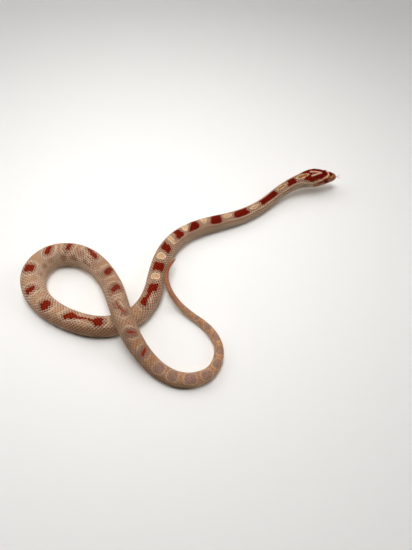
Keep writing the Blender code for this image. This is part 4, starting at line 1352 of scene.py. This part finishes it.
PLATE_CORNERS = 48
PLATE_INSET = 0.035  # half the seam between two shields
PLATE_STEPS = [  # inset, rise
    (0.0, -0.27), (0.0, -0.17), (0.045, -0.075), (0.12, -0.025), (0.28, -0.005),
]
PLATE_MOST = 0.9  # of the way to the middle that an inset may reach
PLATE_TONE = (0.25, 0.75)
PLATE_SHARES = (0.85, 0.7, 0.55, 0.4, 0.25, 0.12)  # rings over the crown of a shield
PLATE_CROWN = (0.01, 0.012)  # rise over the crown and at its middle
PLATE_UNDER = -0.27
PIT_STEPS = [(0.42, 0.0), (0.33, -0.03), (0.25, -0.2), (0.14, -0.42)]  # radius, rise
PIT_FLOOR = (-0.45, -0.55)  # top and underside
PIT_SHADE_BELOW = -0.3  # below this rise the nostril's pit is painted dark, as painted shade
RIM_FALL = 3.0  # a millimetre in from the rim, a place counts as this much nearer the middle
INNER = 0.1  # how far out the places over the crown count as
ROSTRAL_SHARES, ROSTRAL_INNER = (0.6, 0.3), 0.72  # rings over its crown, of its reach less the insets
ROSTRAL_REACH = [  # share of the way round, distance that the tip's shield reaches back
    (0, 1.15), (0.12, 1.0), (0.22, 0.9), (0.30, 0.35), (0.38, 0.0), (0.42, -0.25), (0.5, -0.3),
]


def ring(places, rise, reach):
    """Places with one rise, and one number for how far out they lie."""
    return np.column_stack([places, np.full(len(places), rise), np.full(len(places), reach)])


def plate(outline, nostril=None):
    """A low dome within an outline, or a dome with a nostril, which is a pit with a steep wall.

    Rings of (distance, millimetres round, rise, how far out) go from the rim in, each the rim drawn
    towards the middle by an inset or a share. Then come the middles of the underside and the top.
    """
    rim = round_outline(outline, PLATE_CORNERS, PLATE_INSET)
    eye = np.array([EYE_AT[0], np.sign(rim[:, 1].mean()) * EYE_ROUND])
    near = np.linalg.norm(rim - eye, axis=1, keepdims=True)
    rim = eye + (rim - eye) * np.maximum(1, EYE_OPENING / near)
    middle = rim.mean(axis=0) if nostril is None else np.array(nostril, float)
    away = np.linalg.norm(rim - middle, axis=1, keepdims=True)
    rings = [
        ring(rim + (middle - rim) * np.minimum(inset / away, PLATE_MOST), rise, 1 - inset * RIM_FALL)
        for inset, rise in PLATE_STEPS
    ]
    inner = rings[-1][:, :2] - middle
    if nostril is None:
        rise, top = PLATE_CROWN
        under = PLATE_UNDER
        rings += [ring(middle + inner * share, rise, INNER) for share in PLATE_SHARES]
    else:
        top, under = PIT_FLOOR
        inner /= np.linalg.norm(inner, axis=1, keepdims=True)
        rings += [ring(middle + inner * radius, rise, INNER) for radius, rise in PIT_STEPS]
    return np.concatenate(rings + [[[*middle, under, 1.0], [*middle, top, 0.0]]])


def rostral():
    """The shield at the tip of the snout: rings round the front that reach further back above."""
    turn = np.linspace(0, 1, PLATE_CORNERS, endpoint=False)
    border = profile(ROSTRAL_REACH, np.abs(half_round(turn)))
    rings = [
        ring(np.stack([border - inset, turn], axis=-1), rise, 1 - inset * RIM_FALL)
        for inset, rise in PLATE_STEPS
    ]
    for share in ROSTRAL_SHARES:
        at = -1 + (border + ROSTRAL_INNER) * share
        rings.append(ring(np.stack([at, turn], axis=-1), 0.0, INNER))
    return np.concatenate(rings + [[[-1.0, 0.0, PLATE_UNDER, 1.0], [-1.0, 0.0, 0.0, 0.0]]])


def inside(outline, at, side):
    """Whether each place lies within an outline."""
    within = np.zeros(np.shape(at), bool)
    for (x0, y0), (x1, y1) in zip(outline, outline[1:] + outline[:1]):
        if y0 != y1:
            within ^= ((y0 > side) != (y1 > side)) & (at < (x1 - x0) * (side - y0) / (y1 - y0) + x0)
    return within


CLEAR_OF_EYE = 1.9
CLEAR_OF_MOUTH = 0.45
CLEAR_OF_SHIELD = (-0.25, 0.35)  # a scale's own reach to the front and rear


def covered(at, share):
    """Whether an eye, the mouth or a head shield takes the place of a small scale."""
    side = share * SHELL.girth(at)
    taken = (off_eye(at, share) < CLEAR_OF_EYE) | (off_mouth(at, share) < CLEAR_OF_MOUTH)
    for outline, _ in plate_outlines():
        for ahead in CLEAR_OF_SHIELD:
            taken |= inside(outline, at + ahead, side)
        taken |= inside([(s, a - SHELL.girth(s)) for s, a in outline], at, side)
    return taken


def build_head(finish, random):
    """All head shields as one piece, each a low closed dome with a groove round it."""
    dark, light = PLATE_TONE
    laid = []  # rows of (distance, share round, rise, how far out), tone, and whether it faces inward
    for outline, nostril in plate_outlines():
        shield = plate(outline, nostril)
        shield[:, 1] /= SHELL.girth(shield[:, 0])
        laid.append((shield, random.random() * (light - dark) + dark, turning(outline) < 0))
    laid.append((rostral(), 0.5, False))
    faces, start = [], 0
    for shield, _, flip in laid:
        rings = len(shield) // PLATE_CORNERS
        faces.append([f + start for f in tube_faces(rings, PLATE_CORNERS, flip)])
        start += len(shield)
    at, share, rise, reach = np.concatenate([shield for shield, _, _ in laid]).T
    tone = np.concatenate([np.full(len(shield), tone) for shield, tone, _ in laid])
    where = (np.maximum(at, 0), share)
    bake = np.stack([(where[0] + 1) / 24, half_round(share) + 0.5], axis=-1)
    # The floors of the nostrils' pits get painted shade.
    head = make_piece(
        "head_shields", SHELL.at(at, share, rise), merged(faces), finish, where,
        (reach, tone, rise < PIT_SHADE_BELOW), bake * (1 - 2 * BAKE_MARGIN) + BAKE_MARGIN,
    )
    return attach(head, "head_shields")


# ---- eyes and tongue ---------------------------------------------------------------------------------
EYE_RINGS, EYE_AROUND = 27, 48
TONGUE_RINGS, TONGUE_AROUND = 14, 16
TONGUE_FLAT = 0.8  # of its width
TINE = 0.8  # of the stem's width
STEM_END, TINE_ROOT = 0.15, 0.5  # the stem reaches past the fork and the tines begin inside it
TINE_APART, TINE_CURVE = 0.1, 1.3


def build_eyes(finish):
    """A ball each side, a little less deep than wide, in rings at equal angles from the pupil."""
    fall = np.linspace(0, np.pi, EYE_RINGS + 2)
    turn = np.linspace(0, 2 * np.pi, EYE_AROUND, endpoint=False)
    f, t = np.meshgrid(fall[1:-1], turn, indexing="ij")
    f, t = np.append(f.ravel(), [0, np.pi]), np.append(t.ravel(), [0, 0])
    for name, side in (("eye_left", 1), ("eye_right", -1)):
        points = SPINE.place(
            EYE_AT[0] + EYE_RADIUS * np.sin(f) * np.cos(t),
            side * (EYE_AT[1] + EYE_RADIUS * EYE_THICKNESS * np.cos(f)),
            EYE_AT[2] + EYE_RADIUS * np.sin(f) * np.sin(t),
        )
        ball = make_piece(name + "_ball", points, tube_faces(EYE_RINGS, EYE_AROUND, side < 0), finish)
        store(ball.data, "iris", f / np.pi, 0, 0, 1)
        attach(ball, "eye_glass", name)


def build_tongue(finish):
    """A stem and two tines, each a tapering tube of oval rings; the tines start inside the stem."""
    points, faces = [], []
    t = np.linspace(0, 1, TONGUE_RINGS)
    turn = np.linspace(0, 2 * np.pi, TONGUE_AROUND, endpoint=False)[None, :]
    tip, apart, up = TONGUE_TIP
    for side in (0, 1, -1):
        first, last = (TINE_ROOT, tip - TONGUE_FORK) if side else (TONGUE_ROOT - TONGUE_FORK, -STEM_END)
        at = TONGUE_FORK + first + (last - first) * t
        across = side * (TINE_APART + (apart - TINE_APART) * t**TINE_CURVE)
        level = TONGUE_LEVEL + side * up * t
        radius = profile([(-s, r) for s, r in TONGUE_THICKNESS], -at) * (TINE if side else 1)
        rings = [
            np.repeat(at[:, None], TONGUE_AROUND, axis=1),
            across[:, None] + radius[:, None] * np.sin(turn),
            level[:, None] + radius[:, None] * TONGUE_FLAT * np.cos(turn),
        ]
        ends = (at[[0, -1]], across[[0, -1]], level[[0, -1]])
        local = [np.append(grid.ravel(), end) for grid, end in zip(rings, ends)]
        start = len(local[0]) * len(points)
        faces.append([f + start for f in tube_faces(TONGUE_RINGS, TONGUE_AROUND)])
        points.append(SPINE.place(*local))
    tongue = make_piece("forked_tongue", np.concatenate(points), merged(faces), finish)
    return attach(tongue, "tongue_skin", "tongue")


# ---- settings ----------------------------------------------------------------------------------------
PALETTE = {
    "ground_fore": ("#895735", "Back, fore body"), "ground_hind": ("#A87F63", "Back, hind body"),
    "ground_tail": ("#A27253", "Back, tail"), "flank_fore": ("#937C63", "Flank, fore body"),
    "flank_hind": ("#AA815E", "Flank, hind body"), "flank_tail": ("#D0A781", "Flank, tail"),
    "ring_fore": ("#7A4528", "Ring round a saddle, fore body"),
    "ring_hind": ("#8F6345", "Ring round a saddle, hind body"),
    # The side blotch colour also paints the shade of the flanks that lie in shadow.
    "ring_tail": ("#9B7563", "Dull saddle, tail"), "blotch_and_shade": ("#8F5D3C", "Side blotch and painted shade"),
    "space": ("#B3855F", "Space between saddles"),
    "space_tail": ("#B37A4E", "Space between saddles, tail"),
    "cream": ("#FFE6BE", "Oval between saddles"), "heart": ("#A85E1D", "Middle of an oval"),
    "line": ("#D5B494", "Pale line"), "line_tail": ("#D19D71", "Pale line, tail"),
    "red_fore": ("#620300", "Saddle, fore body"), "red_hind": ("#6D0E01", "Saddle, hind body"),
    "red_tail": ("#9A2C14", "Streak in a dull saddle"), "belly": ("#C9B79E", "Belly"),
    "tip": ("#934F24", "Tip of the tail"), "rim_fore": ("#F6D8BE", "Rim of a scale, fore body"),
    "rim_hind": ("#F9E2CC", "Rim of a scale, hind body"),
    "rim_red_fore": ("#A02F13", "Rim of a red scale, fore body"),
    "rim_red_hind": ("#BC4420", "Rim of a red scale, hind body"),
    # The dark red-brown given for the mouth is painted shade in the mouth's groove, the eye sockets and
    # the nostrils.
    "seam": ("#5A1A10", "Painted shade of the mouth, eye sockets and nostrils"), "snout": ("#9C5C2C", "Snout"), "lip": ("#A67054", "Lips"),
    "band": ("#E2AE94", "Pale band of the head"), "iris": ("#A8300F", "Iris"),
    "iris_light": ("#BE4414", "Iris, light streaks"), "pupil": ("#6A0E04", "Pupil"),
    "eye_rim": ("#8E2408", "Edge of the eye"), "tongue": ("#E3B79A", "Tongue"),
    "floor": ("#F3F1EE", "Floor"),
}


class CornSnakeColours(bpy.types.PropertyGroup):
    """Colours of the animal and its stage, one for each entry of the palette."""


for key, (shade, label) in PALETTE.items():
    CornSnakeColours.__annotations__[key] = bpy.props.FloatVectorProperty(
        name=label, description=label, default=linear(shade), size=4, min=0, max=1, subtype="COLOR"
    )


class CornSnakeSizes(bpy.types.PropertyGroup):
    """Sizes of the stage and of the scales' finish."""

    floor_size: bpy.props.FloatProperty(
        name="Floor", description="Side of the square floor", default=6.0, unit="LENGTH"
    )
    rim_strength: bpy.props.FloatProperty(
        name="Pale rims", description="How pale each scale's rim is", default=0.95, min=0, max=1,
        subtype="FACTOR",
    )
    camera_pitch: bpy.props.FloatProperty(
        name="Camera pitch", description="How far the camera looks down", default=math.radians(55),
        subtype="ANGLE",
    )


def palette(context):
    """The colours as they are set, by the names of the palette."""
    chosen = context.scene.corn_snake_colours
    return {key: tuple(getattr(chosen, key)) for key in PALETTE}


SATIN = {  # a dry, thin horn: next to no mirror, and a little light passes through
    "Specular IOR Level": 0.025, "Coat Roughness": 0.35, "Subsurface Weight": 0.03,
    "Subsurface Scale": 0.001,
}
KERATIN = {  # roughness, coat, and what takes the place of a colour or of the rims' strength
    # Soft, dry skin, folded between the scales: matt, so that the scales stand out from it.
    "pigmented_skin_between_scales": (0.55, 0.0, {}),
    # Keratin, grown as thin, smooth scales over pigment: satin, with a paler rim, where the keratin is
    # clear and has nothing under it. The rims are drawn broader than they are, so that they show.
    "smooth_keratin_scales": (0.5, 0.0, {}),
    # Keratin, grown as flat plates over the skull: smoother and a little glossier, without pale rims.
    "head_shield_keratin": (0.45, 0.02, {
        "ground_fore": "snout", "flank_fore": "lip", "belly": "lip", "line": "band",
        "rim_strength": 0.05,
    }),
}


def keratin(context, name):
    """Keratin over pigment in the pattern of the markings: see KERATIN and SKIN_STEPS."""
    if name in bpy.data.materials:
        return bpy.data.materials[name]
    roughness, coat, changes = KERATIN[name]
    have = {**palette(context), "rim_strength": context.scene.corn_snake_sizes.rim_strength}
    have.update({key: have.get(value, value) for key, value in changes.items()})
    return finish_material(name, MARKS, SKIN_STEPS, have, "skin", {
        **SATIN, "Roughness": roughness, "Coat Weight": coat,
    })


def spectacle(context):
    """The clear, fused scale over the eye, always moist, with a small glint.

    The iris under it has no dark pigment, so it is red, and the pupil is only a darker red.
    """
    shine = {"Roughness": 0.3, "Specular IOR Level": 0.1, "Coat Weight": 0.06, "Coat Roughness": 0.05}
    return finish_material(
        "eye_spectacle_over_red_iris", {"iris": ("out",)}, EYE_STEPS, palette(context), "ball", shine
    )


def tongue_flesh(context):
    """Wet muscle under a smooth membrane: an even, pale pink with a soft shine."""
    shine = {"Roughness": 0.3, "Coat Weight": 0.4}
    return finish_material("moist_tongue_flesh", {}, [], palette(context), "tongue", shine)


def floor_paper(context):
    """Uncoated white paper off a roll: quite matt, with fibres too fine to see."""
    return finish_material("white_paper_floor", {}, [], palette(context), "floor", {"Roughness": 0.9})


# ---- operators ---------------------------------------------------------------------------------------
class CORNSNAKE_OT_skin(bpy.types.Operator):
    """Wraps the skin round the spine"""

    bl_idname = "corn_snake.skin"
    bl_label = "Skin"

    def execute(self, context):
        build_skin(keratin(context, "pigmented_skin_between_scales"))
        return {"FINISHED"}


class CORNSNAKE_OT_scales(bpy.types.Operator):
    """Lays the rows of small scales over the neck, body and tail"""

    bl_idname = "corn_snake.scales"
    bl_label = "Scales"

    def execute(self, context):
        random = np.random.default_rng(SEED)
        found = scale_rows()
        found = found[~covered(found[:, 0], found[:, 1])]
        finish = keratin(context, "smooth_keratin_scales")
        for name, first, last, slot in SCALE_PIECES:
            chosen = found[(found[:, 0] >= first) & (found[:, 0] < last)]
            lay_scales(name, chosen, finish, slot, (first, last), random)
        return {"FINISHED"}


class CORNSNAKE_OT_belly(bpy.types.Operator):
    """Lays the broad shields under the body and the pairs under the tail"""

    bl_idname = "corn_snake.belly"
    bl_label = "Belly shields"

    def execute(self, context):
        build_belly(keratin(context, "smooth_keratin_scales"), np.random.default_rng(SEED + 1))
        return {"FINISHED"}


class CORNSNAKE_OT_head(bpy.types.Operator):
    """Lays the shields of the head"""

    bl_idname = "corn_snake.head"
    bl_label = "Head shields"

    def execute(self, context):
        build_head(keratin(context, "head_shield_keratin"), np.random.default_rng(SEED + 2))
        return {"FINISHED"}


class CORNSNAKE_OT_eyes(bpy.types.Operator):
    """Sets the eyes"""

    bl_idname = "corn_snake.eyes"
    bl_label = "Eyes"

    def execute(self, context):
        build_eyes(spectacle(context))
        return {"FINISHED"}


class CORNSNAKE_OT_tongue(bpy.types.Operator):
    """Puts out the forked tongue"""

    bl_idname = "corn_snake.tongue"
    bl_label = "Tongue"

    def execute(self, context):
        build_tongue(tongue_flesh(context))
        return {"FINISHED"}


SOFTBOXES = [  # name, place, what it faces, width, power
    ("overhead", (-0.10, 0.25, 1.10), (-0.02, 0.02, 0.0), 0.9, 1.3),
    ("back", (-0.2, 1.0, 0.7), (0.0, 0.0, 0.0), 0.7, 2.4),
    ("left", (-0.9, 0.4, 0.6), (0.0, 0.0, 0.0), 0.6, 3.3),
    ("right", (0.9, 0.1, 0.6), (0.0, 0.0, 0.0), 0.6, 3.2),
]
SPOTS = [  # name, place, what it faces, cone in degrees, width of the lamp, power
    ("pool", (-0.05, 0.12, 0.62), (-0.045, 0.02, 0.0), 50.0, 0.50, 17.3),
    ("rear pool", (-0.08, 0.40, 0.55), (-0.03, 0.0, 0.0), 50.0, 0.50, 4.8),
]
AMBIENT = 0.01
AMBIENT_COLOUR = (0.97, 1.0, 0.98, 1)
CAMERA_AT = (0.00728, -0.14921, 0.20462)
LENS, SENSOR = 27.03, 36.0  # mm


def hang(name, lamp, place, target):
    """Places a lamp and turns it about X and then Z so that its own -Z points at its target."""
    made = bpy.data.objects.new(name, lamp)
    made.location = place
    aim = np.subtract(target, place)
    across = math.hypot(aim[0], aim[1])
    made.rotation_euler = (math.atan2(across, -aim[2]), 0, math.atan2(aim[1], aim[0]) - math.pi / 2)
    bpy.context.scene.collection.objects.link(made)
    return made


class CORNSNAKE_OT_stage(bpy.types.Operator):
    """Adds the floor, the soft lights and the camera"""

    bl_idname = "corn_snake.stage"
    bl_label = "Stage"

    def execute(self, context):
        sizes = context.scene.corn_snake_sizes
        half = sizes.floor_size / 2
        mesh = bpy.data.meshes.new("floor")
        corners = [(-half, -half, 0), (half, -half, 0), (half, half, 0), (-half, half, 0)]
        mesh.from_pydata(corners, [], [range(4)])
        mesh.materials.append(floor_paper(context))
        floor = bpy.data.objects.new("floor", mesh)
        context.scene.collection.objects.link(floor)
        for name, place, target, size, power in SOFTBOXES:
            lamp = bpy.data.lights.new(name, "AREA")
            lamp.shape, lamp.size, lamp.energy = "DISK", size, power
            hang(name, lamp, place, target)
        for name, place, target, cone, size, power in SPOTS:
            lamp = bpy.data.lights.new(name, "SPOT")
            lamp.spot_size, lamp.spot_blend = math.radians(cone), 1.0
            lamp.shadow_soft_size, lamp.energy = size / 2, power
            hang(name, lamp, place, target)
        world = bpy.data.worlds.new("pale_room")
        world.use_nodes = True
        sky = world.node_tree.nodes["Background"]
        sky.inputs["Color"].default_value = AMBIENT_COLOUR
        sky.inputs["Strength"].default_value = AMBIENT
        context.scene.world = world
        context.scene.view_settings.view_transform = "Standard"
        lens = bpy.data.cameras.new("camera")
        lens.sensor_width = SENSOR
        lens.lens = LENS
        lens.clip_start = 0.01
        camera = bpy.data.objects.new("camera", lens)
        camera.location = CAMERA_AT
        camera.rotation_euler = (math.pi / 2 - sizes.camera_pitch, 0, 0)
        context.scene.collection.objects.link(camera)
        context.scene.camera = camera
        return {"FINISHED"}


class CORNSNAKE_PT_panel(bpy.types.Panel):
    """The snake's sizes, colours and build buttons"""

    bl_idname = "CORNSNAKE_PT_panel"
    bl_label = "Corn snake"
    bl_space_type = "VIEW_3D"
    bl_region_type = "UI"
    bl_category = "Corn snake"

    def draw(self, context):
        scene = context.scene
        for group in (scene.corn_snake_sizes, scene.corn_snake_colours):
            box = self.layout.box()
            for key in type(group).__annotations__:
                box.prop(group, key)
        for operator in OPERATORS:
            self.layout.operator(operator.bl_idname)


OPERATORS = [
    CORNSNAKE_OT_skin, CORNSNAKE_OT_scales, CORNSNAKE_OT_belly, CORNSNAKE_OT_head, CORNSNAKE_OT_eyes,
    CORNSNAKE_OT_tongue, CORNSNAKE_OT_stage,
]
CLASSES = [CornSnakeColours, CornSnakeSizes, *OPERATORS, CORNSNAKE_PT_panel]


def register():
    for kind in CLASSES:
        bpy.utils.register_class(kind)
    bpy.types.Scene.corn_snake_colours = bpy.props.PointerProperty(type=CornSnakeColours)
    bpy.types.Scene.corn_snake_sizes = bpy.props.PointerProperty(type=CornSnakeSizes)


def unregister():
    del bpy.types.Scene.corn_snake_colours
    del bpy.types.Scene.corn_snake_sizes
    for kind in reversed(CLASSES):
        bpy.utils.unregister_class(kind)


def main():
    """Builds every piece."""
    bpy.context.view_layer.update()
    register()
    for name in ("skin", "scales", "belly", "head", "eyes", "tongue", "stage"):
        getattr(bpy.ops.corn_snake, name)()


if __name__ == "__main__":
    main()
